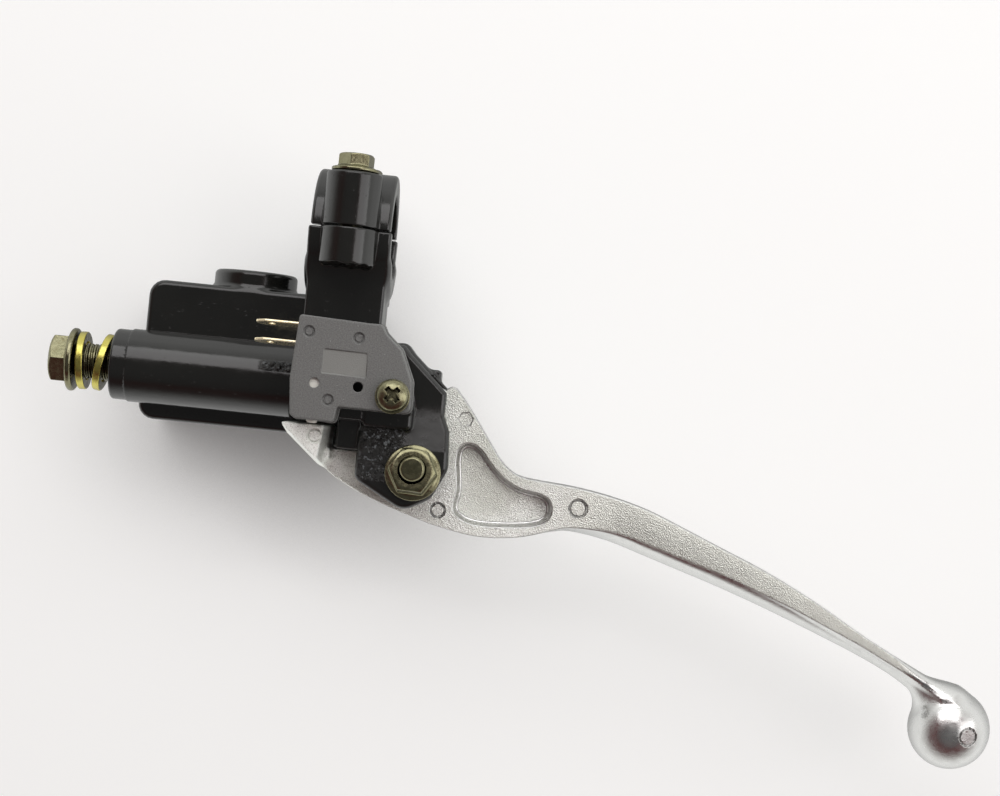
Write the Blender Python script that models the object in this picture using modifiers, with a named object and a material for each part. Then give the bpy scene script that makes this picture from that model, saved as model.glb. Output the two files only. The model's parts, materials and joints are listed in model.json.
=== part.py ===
"""Right-hand motorcycle brake master cylinder with its lever and brake-light switch.

Frame: the origin is the centre of the handlebar clamp's bore. +X runs outboard along the
handlebar, +Y points forward, away from the rider, and +Z points up, through the reservoir cover.
Lengths below are in millimetres, and MM turns them into metres where a mesh is made.
"""

import math

import bmesh
import bpy
from mathutils import Matrix, Vector

MM = 0.001
GAP = 0.3  # clearance between pieces that touch on the real object
ROUND = 28  # sides of an ordinary round piece
FINE = 40  # sides of the handlebar bore and the clamp ring

# Handlebar clamp, bore axis along X at the origin
BAR_R = 11.1
CLAMP_R = 16.25
CLAMP_HALF = 10.8
CAP_HALF = 10.4
CLAMP_BOLT_Z = 17.0
CLAMP_BOSS_R = 7.25
CAP_FACE_Y = -14.2  # seat of the clamp bolts' flanges
BOLT_R = 3.0
CLEAR_R = BOLT_R + GAP
STEM_HALF = 10.3
STEM_NEAR_Z = -12.0

# Cylinder barrel, bore axis along X at (BORE_Y, 0)
BORE_Y = 41.0
BARREL_R = 9.75
END_R = 9.4
END_X = -60.2
STEP_X = -55.9
MOUTH_X = 9.0
PORT_R = 5.2
PORT_END_X = -50.0
BORE_R = 6.35
BORE_END_X = 2.5
COUNTER_R = 7.5

# Reservoir, open at the top
TANK_LO = (-54.0, 17.2, 5.0)
TANK_HI = (5.6, 54.9, 31.0)
TANK_CORNER = 4.0
TANK_WALL = 3.0
TANK_FLOOR = 3.5
COVER_SCREWS = ((-48.2, 36.05), (-0.6, 36.05))
GLASS_X = -27.0
GLASS_Z = 17.0
GLASS_BOSS_R = 11.3
GLASS_FACE_Y = 12.3
COVER_LO_Z = 32.7
COVER_TOP_Z = 36.8

# Lever ears and the lever's pivot, axis along Z
PIVOT = (22.4, 60.2)
EAR_IN = 4.5
EAR_OUT = 11.0
PIVOT_R = 4.0
LUG_Y = 57.2  # the lever rests against the lug's lower face

# Lever
HEAD_HALF = 4.2
NOSE_R = 4.3
TAB_NEAR_Z = -16.2
BALL = (170.9, 115.3)
BALL_R = 10.75

# Piston, at rest against its stop washer
PISTON_HEAD_X = -22.0
PISTON_END_X = PIVOT[0] - NOSE_R - GAP
LAND_R = BORE_R - GAP
ROD_R = 4.2

# Brake-light switch under the casting
SWITCH_NEAR_Z = -20.0
SWITCH_SPLIT_Z = -13.6
PAD_Z = STEM_NEAR_Z
SWITCH_SCREW = (15.5, 42.2)
PLUNGER_X = -4.9
PLUNGER_Z = -15.9
PLUNGER_TIP_Y = 51.1
BLADE_TILT = math.radians(12.0)


def fresh_scene():
    """Empty the scene and return the collections for the parts and for the cutting tools."""
    for obj in list(bpy.data.objects):
        bpy.data.objects.remove(obj, do_unlink=True)
    made = []
    for name in ("brake_master_cylinder", "cutters"):
        group = bpy.data.collections.new(name)
        bpy.context.scene.collection.children.link(group)
        made.append(group)
    return made


PARTS, CUTTERS = fresh_scene()


def material(name, colour, roughness, metallic=0.0):
    mat = bpy.data.materials.new(name)
    mat.use_nodes = True
    shader = mat.node_tree.nodes["Principled BSDF"]
    shader.inputs["Base Color"].default_value = (*colour, 1.0)
    shader.inputs["Roughness"].default_value = roughness
    shader.inputs["Metallic"].default_value = metallic
    return mat


BLACK_PAINT = material("black_paint", (0.012, 0.012, 0.013), 0.2)
CAST_ALLOY = material("cast_alloy", (0.62, 0.62, 0.61), 0.35, 1.0)
ZINC = material("yellow_zinc", (0.40, 0.37, 0.24), 0.35, 1.0)
BRASS = material("brass", (0.78, 0.62, 0.30), 0.3, 1.0)
WASHER_GOLD = material("gold_washer", (0.78, 0.68, 0.18), 0.3, 1.0)
STEEL = material("spring_steel", (0.45, 0.45, 0.46), 0.35, 1.0)
ANODISED = material("anodised_alloy", (0.55, 0.55, 0.56), 0.3, 1.0)
RUBBER = material("black_rubber", (0.02, 0.02, 0.02), 0.7)
GREY_PLASTIC = material("grey_plastic", (0.09, 0.09, 0.092), 0.55)
NYLON = material("nylon", (0.75, 0.74, 0.70), 0.4)
CLEAR = material("clear_lens", (0.80, 0.84, 0.82), 0.08)


def place(mesh, name, mat):
    """Link a mesh as a named part, or as a cutter when it has no material."""
    obj = bpy.data.objects.new(name, mesh)
    if mat:
        PARTS.objects.link(obj)
        mesh.materials.clear()
        mesh.materials.append(mat)
    else:
        CUTTERS.objects.link(obj)
        obj.hide_render = True
        obj.display_type = "WIRE"
    return obj


def from_bmesh(bm, name, mat):
    mesh = bpy.data.meshes.new(name)
    bmesh.ops.scale(bm, vec=(MM, MM, MM), verts=bm.verts)
    bm.to_mesh(mesh)
    bm.free()
    mesh.shade_smooth()
    mesh.set_sharp_from_angle(angle=math.radians(35.0))
    return place(mesh, name, mat)


def block(name, lo, hi, mat=None, turn=None):
    """A box between two corners, optionally turned about its centre by a matrix."""
    bm = bmesh.new()
    size = [b - a for a, b in zip(lo, hi)]
    centre = Vector([(a + b) / 2 for a, b in zip(lo, hi)])
    bmesh.ops.create_cube(bm, size=1.0)
    bmesh.ops.scale(bm, vec=size, verts=bm.verts)
    bmesh.ops.transform(bm, matrix=Matrix.Translation(centre) @ (turn or Matrix()), verts=bm.verts)
    return from_bmesh(bm, name, mat)


def rod(name, start, end, radius, mat=None, end_radius=None, sides=ROUND, roll=0.0):
    """A cylinder, cone or prism between two points. roll turns it about its own axis."""
    start, end = Vector(start), Vector(end)
    along = end - start
    bm = bmesh.new()
    bmesh.ops.create_cone(
        bm,
        cap_ends=True,
        segments=sides,
        radius1=radius,
        radius2=radius if end_radius is None else end_radius,
        depth=along.length,
    )
    turn = along.to_track_quat("Z", "Y").to_matrix().to_4x4() @ Matrix.Rotation(roll, 4, "Z")
    bmesh.ops.transform(bm, matrix=Matrix.Translation((start + end) / 2) @ turn, verts=bm.verts)
    return from_bmesh(bm, name, mat)


def ball(name, centre, radius, mat=None):
    bm = bmesh.new()
    bmesh.ops.create_uvsphere(bm, u_segments=24, v_segments=14, radius=radius)
    bmesh.ops.translate(bm, vec=centre, verts=bm.verts)
    return from_bmesh(bm, name, mat)


def turned(name, profile, mat, axis="X", centre=(0.0, 0.0), closed=False, steps=ROUND):
    """Turn a profile of (radius, station) points about an axis with a Screw modifier.

    The points run down the outer side, from the highest station to the lowest. A closed profile
    makes a ring. centre is the axis's place in the two other coordinates.
    """
    bm = bmesh.new()
    verts = [bm.verts.new((r * MM, 0.0, h * MM)) for r, h in profile]
    for a, b in zip(verts, verts[1:]):
        bm.edges.new((a, b))
    if closed:
        bm.edges.new((verts[-1], verts[0]))
    mesh = bpy.data.meshes.new(name)
    bm.to_mesh(mesh)
    bm.free()
    obj = place(mesh, name, mat)
    screw = obj.modifiers.new("Screw", "SCREW")
    screw.axis = "Z"
    screw.steps = screw.render_steps = steps
    screw.use_merge_vertices = True
    screw.merge_threshold = 0.00001
    screw.use_smooth_shade = True
    u, v = (c * MM for c in centre)
    if axis == "X":
        obj.rotation_euler = (0.0, math.pi / 2, 0.0)
        obj.location = (0.0, u, v)
    elif axis == "Y":
        obj.rotation_euler = (-math.pi / 2, 0.0, 0.0)
        obj.location = (u, 0.0, v)
    else:
        obj.location = (u, v, 0.0)
    bpy.context.view_layer.update()
    return obj


def ring(name, inner, outer, start, end, mat, axis="X", centre=(0.0, 0.0)):
    """A plain washer between two stations of its axis."""
    profile = ((outer, end), (outer, start), (inner, start), (inner, end))
    return turned(name, profile, mat, axis, centre, closed=True)


def curve_to_mesh(data, name, mat):
    """Turn a curve into a mesh part or cutter with its caps welded."""
    guide = bpy.data.objects.new(name + "_curve", data)
    CUTTERS.objects.link(guide)
    bpy.context.view_layer.update()
    seen = guide.evaluated_get(bpy.context.evaluated_depsgraph_get())
    mesh = bpy.data.meshes.new_from_object(seen)
    bm = bmesh.new()
    bm.from_mesh(mesh)
    bmesh.ops.remove_doubles(bm, verts=bm.verts, dist=0.000005)
    bmesh.ops.recalc_face_normals(bm, faces=bm.faces)
    bm.to_mesh(mesh)
    bm.free()
    mesh.shade_smooth()
    mesh.set_sharp_from_angle(angle=math.radians(35.0))
    obj = place(mesh, name, mat)
    obj.matrix_world = guide.matrix_world
    bpy.data.objects.remove(guide)
    return obj


def plate(name, outline, z_lo, z_hi, mat=None):
    """A flat outline in X and Y, as thick as z_lo to z_hi."""
    data = bpy.data.curves.new(name, "CURVE")
    data.dimensions = "2D"
    data.fill_mode = "BOTH"
    data.extrude = (z_hi - z_lo) / 2 * MM
    data.resolution_u = 1
    data.render_resolution_u = 0
    line = data.splines.new("POLY")
    line.points.add(len(outline) - 1)
    for point, (x, y) in zip(line.points, outline):
        point.co = (x * MM, y * MM, 0.0, 1.0)
    line.use_cyclic_u = True
    obj = curve_to_mesh(data, name, mat)
    obj.data.transform(Matrix.Translation((0.0, 0.0, (z_lo + z_hi) / 2 * MM)))
    return obj


def rounded(corners, steps=3):
    """Round the corners of an outline. A corner is (x, y) or (x, y, radius)."""
    points = []
    for i, corner in enumerate(corners):
        here = Vector(corner[:2])
        if len(corner) == 2:
            points.append(tuple(here))
            continue
        back = (Vector(corners[i - 1][:2]) - here).normalized()
        ahead = (Vector(corners[(i + 1) % len(corners)][:2]) - here).normalized()
        half = back.angle(ahead) / 2
        centre = here + (back + ahead).normalized() * (corner[2] / math.sin(half))
        first = here + back * (corner[2] / math.tan(half)) - centre
        last = here + ahead * (corner[2] / math.tan(half)) - centre
        sweep = first.angle_signed(last)
        for step in range(steps + 1):
            turn = Matrix.Rotation(-sweep * step / steps, 2)
            points.append(tuple(centre + turn @ first))
    return points


def rectangle(x_lo, y_lo, x_hi, y_hi, radius):
    corners = ((x_lo, y_lo), (x_hi, y_lo), (x_hi, y_hi), (x_lo, y_hi))
    return rounded([(x, y, radius) for x, y in corners])


def arc(centre, radius, start, end, steps):
    """Points on a circle from one angle to another, in degrees."""
    angles = (math.radians(start + (end - start) * i / steps) for i in range(steps + 1))
    return [(centre[0] + radius * math.cos(a), centre[1] + radius * math.sin(a)) for a in angles]


def combine(target, tools, operation):
    """Cut cutters from a part, or join them to it."""
    for tool in tools:
        step = target.modifiers.new(operation.title(), "BOOLEAN")
        step.operation = operation
        step.object = tool
        step.solver = "EXACT"
    return target


def cut(target, *tools):
    return combine(target, tools, "DIFFERENCE")


def join(target, *tools):
    return combine(target, tools, "UNION")


def chamfer(obj, width, angle=50.0):
    """Break the sharp edges of a piece."""
    step = obj.modifiers.new("Bevel", "BEVEL")
    step.width = width * MM
    step.segments = 1
    step.limit_method = "ANGLE"
    step.angle_limit = math.radians(angle)
    return obj


def pivot_at(obj, x, y, z):
    """Put a moving piece's origin on its joint's axis."""
    point = Vector((x, y, z)) * MM
    local = obj.matrix_world.inverted() @ point
    obj.data.transform(Matrix.Translation(-local))
    obj.location = obj.matrix_world @ local
    bpy.context.view_layer.update()
    return obj


def ear_outline():
    """Outline of the lever ears, from the stop lug round the pivot and up to the clamp's stem."""
    return rounded(
        (
            (7.0, 28.5),
            (7.0, 64.6, 3.0),
            (20.6, 71.9, 5.0),
            (27.6, 68.0, 5.0),
            (31.3, 60.0, 3.0),
            (30.7, 50.0, 1.5),
            (29.0, 46.2),
            (29.0, 40.0, 1.0),
            (19.0, 31.0),
            (16.8, 28.5, 1.5),
        )
    )


def cylinder_body():
    """The casting: reservoir, barrel, lower clamp half, stem, lever ears and their pads."""
    x0, y0, z0 = TANK_LO
    x1, y1, z1 = TANK_HI
    body = plate("cylinder_body", rectangle(x0, y0, x1, y1, TANK_CORNER), z0, z1, BLACK_PAINT)
    chamfer(body, 1.2)
    w = TANK_WALL
    hollow = rectangle(x0 + w, y0 + w, x1 - w, y1 - w, 2.0)
    cut(body, plate("tank_hollow", hollow, z0 + TANK_FLOOR, z1 + 5.0))
    for x, y in COVER_SCREWS:
        join(body, rod("screw_post", (x, y, z0 + 1.0), (x, y, z1), 4.0, sides=16))

    near = ear_outline()
    thick = [p for p in near if p[1] > 44.0]
    thick = [(7.0, 44.0)] + thick + [(29.0, 44.0)]
    pad = ((-9.5, 26.0), (11.0, 26.0), (15.5, 30.2), (18.8, 38.0), (20.8, 46.4), (-9.5, 46.4))
    join(
        body,
        rod("barrel", (STEP_X, BORE_Y, 0), (MOUTH_X, BORE_Y, 0), BARREL_R, sides=FINE),
        rod("end_ring", (END_X, BORE_Y, 0), (STEP_X + 1, BORE_Y, 0), END_R, sides=FINE),
        block("stem", (-STEM_HALF, 10.5, STEM_NEAR_Z), (STEM_HALF, 33.0, z0 + 2.0)),
        block("stem_neck", (-STEM_HALF, 10.5, z0), (STEM_HALF, y0 + 1.5, 14.0)),
        rod("clamp_ring", (-CLAMP_HALF, 0, 0), (CLAMP_HALF, 0, 0), CLAMP_R, sides=FINE),
        rod("lower_boss", (0, -1, -CLAMP_BOLT_Z), (0, 11.5, -CLAMP_BOLT_Z), CLAMP_BOSS_R),
        rod("upper_boss", (0, -1, CLAMP_BOLT_Z), (0, 11.5, CLAMP_BOLT_Z), CLAMP_BOSS_R),
        rod("glass_boss", (GLASS_X, GLASS_FACE_Y, GLASS_Z), (GLASS_X, 20, GLASS_Z), GLASS_BOSS_R),
        plate("switch_pad", pad, PAD_Z, 2.0),
        block("ledge", (7.6, 45.0, PAD_Z), (20.8, 50.8, -EAR_IN)),
        block("stop_lug", (1.2, 45.0, -9.0), (8.0, LUG_Y, 9.0)),
        plate("lower_web", near, -8.0, 0.0),
        plate("lower_ear", thick, -EAR_OUT, -1.0),
        plate("upper_ear", near, -0.5, EAR_OUT),
        plate("mirror_boss", rectangle(8.0, 34.0, 26.6, 52.4, 2.5), 6.0, 19.0),
    )

    px, py = PIVOT
    slot = ((MOUTH_X, 35.6), (60, 35.6), (60, 80), (-20, 80), (-20, LUG_Y), (MOUTH_X, LUG_Y))
    sx, sy = SWITCH_SCREW
    cut(
        body,
        block("clamp_split", (-30, -30, -40), (30, GAP, 40)),
        rod("bar_bore", (-30, 0, 0), (30, 0, 0), BAR_R, sides=FINE),
        plate("lever_slot", slot, -EAR_IN, EAR_IN),
        rod("boot_chamber", (MOUTH_X - 1, BORE_Y, 0), (14.3, BORE_Y, 0), COUNTER_R),
        rod("counterbore", (BORE_END_X, BORE_Y, 0), (MOUTH_X + 1, BORE_Y, 0), COUNTER_R),
        rod("ring_groove", (3.9, BORE_Y, 0), (5.3, BORE_Y, 0), COUNTER_R + 0.6),
        rod("bore", (PORT_END_X, BORE_Y, 0), (BORE_END_X + 1, BORE_Y, 0), BORE_R),
        rod("hose_port", (END_X - 2, BORE_Y, 0), (PORT_END_X + 1, BORE_Y, 0), PORT_R),
        rod("inlet_port", (-16, BORE_Y, 4), (-16, BORE_Y, 13), 1.5, sides=12),
        rod("compensating_port", (-27.5, BORE_Y, 4), (-27.5, BORE_Y, 13), 0.5, sides=8),
        rod("pivot_hole", (px, py, -20), (px, py, 20), PIVOT_R + GAP),
        rod("mirror_hole", (17.3, 43.2, 9.5), (17.3, 43.2, 25), 4.0, sides=20),
        rod("switch_hole", (sx, sy, PAD_Z - 2), (sx, sy, -7.8), 2.2, sides=14),
        rod("glass_seat", (GLASS_X, 8, GLASS_Z), (GLASS_X, 17.6, GLASS_Z), 8.6),
        rod("glass_window", (GLASS_X, 17, GLASS_Z), (GLASS_X, 22, GLASS_Z), 6.5),
    )
    for z in (-CLAMP_BOLT_Z, CLAMP_BOLT_Z):
        cut(body, rod("clamp_thread", (0, -2, z), (0, 9.5, z), CLEAR_R, sides=20))
    for x, y in COVER_SCREWS:
        cut(body, rod("cover_thread", (x, y, 20), (x, y, z1 + 2), 2.2, sides=14))


def reservoir_top():
    """Cover, its two screws, the diaphragm under it and the plate between them."""
    x0, y0, _ = TANK_LO
    x1, y1, z1 = TANK_HI
    rim = rectangle(x0, y0, x1, y1, TANK_CORNER)
    cover = plate("reservoir_cover", rim, COVER_LO_Z, COVER_TOP_Z, BLACK_PAINT)
    chamfer(cover, 0.9)
    under = rectangle(x0 + 2.2, y0 + 2.2, x1 - 2.2, y1 - 2.2, 2.0)
    cut(cover, plate("cover_recess", under, COVER_LO_Z - 1, 34.1))

    inset = rectangle(x0 + 2.6, y0 + 2.6, x1 - 2.6, y1 - 2.6, 1.8)
    board = plate("diaphragm_plate", inset, 32.75, 33.8, GREY_PLASTIC)
    cut(board, rod("vent", (-24.4, 36, 30), (-24.4, 36, 36), 1.5, sides=12))

    flange = rectangle(x0 + 0.5, y0 + 0.5, x1 - 0.5, y1 - 0.5, 2.6)
    rubber = plate("diaphragm", flange, z1 + GAP, 32.4, RUBBER)
    join(rubber, block("bellows", (-42.6, 22.2, 25.5), (-6.2, 49.9, 31.8)))
    cut(rubber, block("bellows_hollow", (-41.4, 23.4, 26.7), (-7.4, 48.7, 35.0)))

    for piece in (board, rubber):
        for x, y in COVER_SCREWS:
            cut(piece, rod("screw_clearance", (x, y, 29), (x, y, 38), 2.3, sides=14))
    for i, (x, y) in enumerate(COVER_SCREWS):
        cut(cover, rod("screw_clearance", (x, y, 30), (x, y, 36), 2.3, sides=14))
        cut(cover, rod("countersink", (x, y, 34.2), (x, y, 36.9), 2.1, end_radius=4.6, sides=20))
        profile = ((0, 36.4), (3.7, 36.4), (3.7, 36.1), (1.9, 34.4), (1.9, 21.5), (0, 21.5))
        screw = turned(f"cover_screw_{i + 1}", profile, ZINC, "Z", (x, y), steps=20)
        cross_recess(screw, x, y, 36.4, 1.0, 0.0)


def cross_recess(screw, x, y, face_z, outward, turn):
    """Cut a cross-head recess into a screw whose head faces along Z."""
    depth = face_z - outward * 1.5
    lo, hi = sorted((depth, face_z + outward))
    for k in range(2):
        spin = Matrix.Rotation(turn + k * math.pi / 2, 4, "Z")
        size = Vector((2.0, 0.55, (hi - lo) / 2))
        middle = Vector((x, y, (lo + hi) / 2))
        cut(screw, block("cross", middle - size, middle + size, turn=spin))


def sight_glass():
    """Lens, gasket and retaining ring, in the round boss on the rider's side."""
    at = (GLASS_X, GLASS_Z)
    ring("sight_glass_gasket", 6.6, 8.2, 16.3, 17.3, RUBBER, "Y", at)
    lens = ((0, 16.0), (8.2, 16.0), (8.2, 13.9), (6.4, 13.4), (0, 13.4))
    turned("sight_glass", lens, CLEAR, "Y", at)
    profile = ((8.3, 13.5), (8.3, 12.3), (7.0, 12.3), (6.8, 13.0), (7.4, 13.5))
    turned("sight_glass_ring", profile, BLACK_PAINT, "Y", at, closed=True)


def clamp():
    """Upper clamp half and its two flanged bolts."""
    cap = rod("clamp_cap", (-CAP_HALF, 0, 0), (CAP_HALF, 0, 0), CLAMP_R, BLACK_PAINT, sides=FINE)
    for z in (-CLAMP_BOLT_Z, CLAMP_BOLT_Z):
        join(cap, rod("cap_boss", (0, CAP_FACE_Y, z), (0, 2, z), CLAMP_BOSS_R))
    cut(
        cap,
        block("cap_split", (-30, -0.5, -40), (30, 30, 40)),
        rod("cap_bore", (-30, 0, 0), (30, 0, 0), BAR_R, sides=FINE),
    )
    for name, z in (("lower", -CLAMP_BOLT_Z), ("upper", CLAMP_BOLT_Z)):
        cut(cap, rod("cap_hole", (0, -20, z), (0, 5, z), CLEAR_R, sides=20))
        seat = CAP_FACE_Y - GAP
        shank = ((BOLT_R, 8.5), (BOLT_R, seat), (6.15, seat), (6.15, seat - 1.0), (4.6, seat - 1.7))
        profile = ((0, 8.5), *shank, (0, seat - 1.7))
        bolt = turned(f"clamp_bolt_{name}", profile, ZINC, "Y", (0, z), steps=24)
        head = rod("hex", (0, seat - 1.0, z), (0, -19.1, z), 4.62, sides=6, roll=math.radians(-14))
        join(bolt, head)


def hose_bolt():
    """Hollow hose bolt, part screwed in, with its two crush washers hanging on its neck."""
    y = BORE_Y
    profile = ((0, -52.0), (4.9, -52.0), (4.9, -61.4), (4.0, -62.2), (4.0, -70.3))
    flange = ((8.4, -70.3), (8.4, -71.2), (7.2, -72.0), (0, -72.0))
    bolt = turned("hose_bolt", (*profile, *flange), ZINC, "X", (y, 0))
    join(bolt, rod("hex", (-77.0, y, 0), (-71.5, y, 0), 6.93, sides=6))
    cut(
        bolt,
        rod("drilling", (-50, y, 0), (-67.2, y, 0), 1.8, sides=14),
        rod("cross_drilling", (-66, y - 8, 0), (-66, y + 8, 0), 1.2, sides=10),
    )
    outer = ring("crush_washer_outer", 5.15, 7.7, -1.0, 1.0, WASHER_GOLD)
    outer.location = Vector((-68.6, y, 0)) * MM
    outer.rotation_euler[2] = math.radians(-3.0)
    inner = ring("crush_washer_inner", 5.15, 7.7, -1.0, 1.0, WASHER_GOLD)
    inner.location = Vector((-64.6, y, 0)) * MM
    inner.rotation_euler[2] = math.radians(10.0)


def hydraulics():
    """Everything that slides or seals in the bore, from the return spring to the dust boot."""
    y = BORE_Y
    at = (y, 0.0)
    head, end = PISTON_HEAD_X, PISTON_END_X
    profile = (
        (0, end),
        (ROD_R, end),
        (ROD_R, BORE_END_X),
        (LAND_R, BORE_END_X),
        (LAND_R, -1.5),
        (4.0, -1.5),
        (4.0, -5.0),
        (LAND_R, -5.0),
        (LAND_R, -7.5),
        (3.6, -8.5),
        (3.6, head + 2.5),
        (LAND_R, head + 2.0),
        (LAND_R, head),
        (2.0, head),
        (2.0, head - 4.2),
        (0, head - 4.2),
    )
    pivot_at(turned("piston", profile, ANODISED, centre=at, steps=24), 0, y, 0)
    lip = ((6.0, head - 0.4), (6.05, head - 3.4), (5.2, head - 3.4), (2.6, head - 1.6))
    cup = (*lip, (2.3, head - 1.6), (2.3, head - 0.4))
    pivot_at(turned("primary_cup", cup, RUBBER, centre=at, closed=True, steps=24), 0, y, 0)
    cup = ((5.9, -1.8), (6.05, -4.7), (5.2, -4.7), (4.6, -3.3), (4.3, -3.3), (4.3, -1.8))
    pivot_at(turned("secondary_cup", cup, RUBBER, centre=at, closed=True, steps=24), 0, y, 0)
    seat = head - 3.7
    cap = ((4.4, seat), (4.4, seat - 1.2), (2.3, seat - 1.2), (2.3, seat))
    pivot_at(turned("spring_seat", cap, NYLON, centre=at, closed=True, steps=20), 0, y, 0)
    helix("return_spring", "X", (PORT_END_X + 0.9, seat - 2.1), (y, 0), 5.35, 0.5, 8, STEEL)

    ring("stop_washer", ROD_R + GAP, 7.2, 2.8, 3.7, STEEL, centre=at)
    clip = turned("snap_ring", ((7.8, 5.0), (7.8, 4.1), (6.0, 4.1), (6.0, 5.0)), STEEL, "X", at, True)
    cut(clip, block("clip_gap", (3, y - 9, -2.2), (6, y - 4, 2.2)))
    boot = (
        (5.0, 13.9),
        (5.0, 12.6),
        (6.6, 11.8),
        (5.4, 10.8),
        (7.1, 9.8),
        (7.2, 8.6),
        (7.2, 5.6),
        (6.2, 5.6),
        (6.2, 8.8),
        (4.7, 10.8),
        (5.5, 11.7),
        (4.5, 12.4),
        (4.5, 13.9),
    )
    turned("dust_boot", boot, RUBBER, centre=at, closed=True, steps=24)


def helix(name, axis, span, centre, radius, wire, turns, mat):
    """A compression spring whose wire's centre runs from one station to another."""
    data = bpy.data.curves.new(name, "CURVE")
    data.dimensions = "3D"
    data.bevel_depth = wire * MM
    data.bevel_resolution = 1
    data.use_fill_caps = True
    data.resolution_u = 1
    data.render_resolution_u = 0
    line = data.splines.new("POLY")
    count = turns * 14
    line.points.add(count)
    for i, point in enumerate(line.points):
        angle = 2 * math.pi * i / 14
        along = span[0] + (span[1] - span[0]) * i / count
        u = centre[0] + radius * math.cos(angle)
        v = centre[1] + radius * math.sin(angle)
        spot = (along, u, v) if axis == "X" else (u, along, v)
        point.co = (*(c * MM for c in spot), 1.0)
    return curve_to_mesh(data, name, mat)


def pivot_hardware():
    """Shouldered pivot bolt from above, and its flange nut below the lower ear."""
    x, y = PIVOT
    top, low = EAR_OUT + GAP, -EAR_OUT - GAP
    head = ((0, 15.0), (5.0, 15.0), (6.6, 13.8), (6.6, top), (PIVOT_R, top))
    shank = ((PIVOT_R, -10.2), (3.15, -10.6), (3.15, -20.2), (2.4, -21.0), (0, -21.0))
    bolt = turned("pivot_bolt", (*head, *shank), ZINC, "Z", PIVOT, steps=24)
    slot = block("driver_slot", (x - 8, y - 0.7, 13.6), (x + 8, y + 0.7, 17))
    cut(bolt, slot)
    profile = ((7.4, low), (7.4, low - 0.9), (5.2, low - 1.9), (3.45, low - 1.9), (3.45, low))
    nut = turned("pivot_nut", profile, ZINC, "Z", PIVOT, closed=True, steps=32)
    tall = rod("hex", (x, y, low - 1.0), (x, y, -18.9), 6.1, sides=6, roll=math.radians(32))
    cut(tall, rod("nut_bore", (x, y, -30), (x, y, 0), 3.46, sides=32))
    join(nut, tall)


def ring_of(centre, direction, half_width, half_height, power, sides):
    """A superellipse section across the lever, as points in X, Y and Z."""
    across = Vector((-direction[1], direction[0]))
    points = []
    for i in range(sides):
        angle = 2 * math.pi * (i + 0.5) / sides
        c, s = math.cos(angle), math.sin(angle)
        u = math.copysign(abs(c) ** (2 / power), c) * half_width
        v = math.copysign(abs(s) ** (2 / power), s) * half_height
        points.append((centre[0] + across[0] * u, centre[1] + across[1] * u, v))
    return points


def blade(name):
    """The lever's finger blade: a loft through sections along a gently bent spine."""
    sections = (
        # x, y, half width, half height
        (55.0, 67.9, 7.2, 4.3),
        (63.0, 67.3, 6.2, 4.8),
        (74.0, 68.5, 5.8, 5.2),
        (86.0, 71.7, 6.0, 5.3),
        (106.0, 79.0, 5.1, 5.2),
        (126.0, 86.6, 4.3, 5.0),
        (141.0, 93.7, 3.3, 4.8),
        (151.0, 98.7, 2.8, 4.7),
        (158.5, 102.7, 3.1, 5.0),
        (165.0, 107.8, 5.4, 6.2),
        (169.0, 111.5, 7.0, 7.2),
    )
    bm = bmesh.new()
    rings = []
    for i, (x, y, half_width, half_height) in enumerate(sections):
        before, after = sections[max(i - 1, 0)], sections[min(i + 1, len(sections) - 1)]
        along = Vector((after[0] - before[0], after[1] - before[1])).normalized()
        points = ring_of((x, y), along, half_width, half_height, 3.2, 16)
        rings.append([bm.verts.new(p) for p in points])
    for a, b in zip(rings, rings[1:]):
        for k in range(len(a)):
            bm.faces.new((a[k - 1], a[k], b[k], b[k - 1]))
    bm.faces.new(rings[0])
    bm.faces.new(rings[-1])
    bmesh.ops.recalc_face_normals(bm, faces=bm.faces)
    return from_bmesh(bm, name, None)


def brake_lever():
    """Cast lever: cam head in the ears, switch tab to the left, blade and ball end to the right."""
    px, py = PIVOT
    nose = (px, BORE_Y)
    outline = (
        [(30.3, 38.0), (38.2, 47.2), (44.5, 55.4), (47.6, 58.5), (52.0, 60.2), (62.0, 61.0)]
        + [(62.0, 73.4), (52.0, 76.0), (40.0, 77.0), (30.0, 75.5), (16.2, 71.5), (8.0, 68.3)]
        + [(0.0, 64.0), (-2.5, 60.6), (-2.5, LUG_Y + GAP), (9.3, LUG_Y + GAP), (14.0, 55.0), (18.4, 47.5)]
        + arc(nose, NOSE_R, 165.0, 280.0, 8)
        + [(28.9, 39.0)]
    )
    lever = plate("brake_lever", outline, -HEAD_HALF, HEAD_HALF, CAST_ALLOY)
    tab = ((-12.3, 52.4), (-12.0, 51.4), (-1.4, 51.4), (-2.2, 60.7))
    tab_root = ((-3.0, 53.0), (0.1, 53.0), (0.1, 61.0), (-2.3, 60.7))
    join(
        lever,
        blade("lever_blade"),
        ball("lever_ball", (*BALL, 0.0), BALL_R),
        plate("switch_tab", tab, TAB_NEAR_Z, 3.5),
        plate("tab_root", tab_root, -9.0, 3.5),
    )
    pocket = rounded(
        (
            (32.6, 52.4, 3.0),
            (39.0, 52.6, 3.0),
            (46.0, 62.8, 6.0),
            (60.0, 64.4, 3.5),
            (59.4, 73.0, 4.0),
            (33.8, 74.6, 3.5),
            (34.2, 64.0),
        )
    )
    cut(
        lever,
        plate("pocket", pocket, -20.0, -HEAD_HALF + 2.8),
        rod("pivot_bore", (px, py, -20), (px, py, 20), PIVOT_R + GAP),
    )
    pivot_at(lever, px, py, 0)


def switch_outline():
    return rounded(
        (
            (-10.3, 23.5, 0.8),
            (11.2, 24.2, 0.8),
            (12.2, 26.2),
            (16.6, 30.2),
            (20.0, 38.0),
            (20.3, 46.2, 1.5),
            (1.6, 46.2, 0.6),
            (1.0, 50.3, 0.8),
            (-9.0, 50.3),
            (-10.4, 49.4),
            (-11.3, 40.0),
        )
    )


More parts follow.
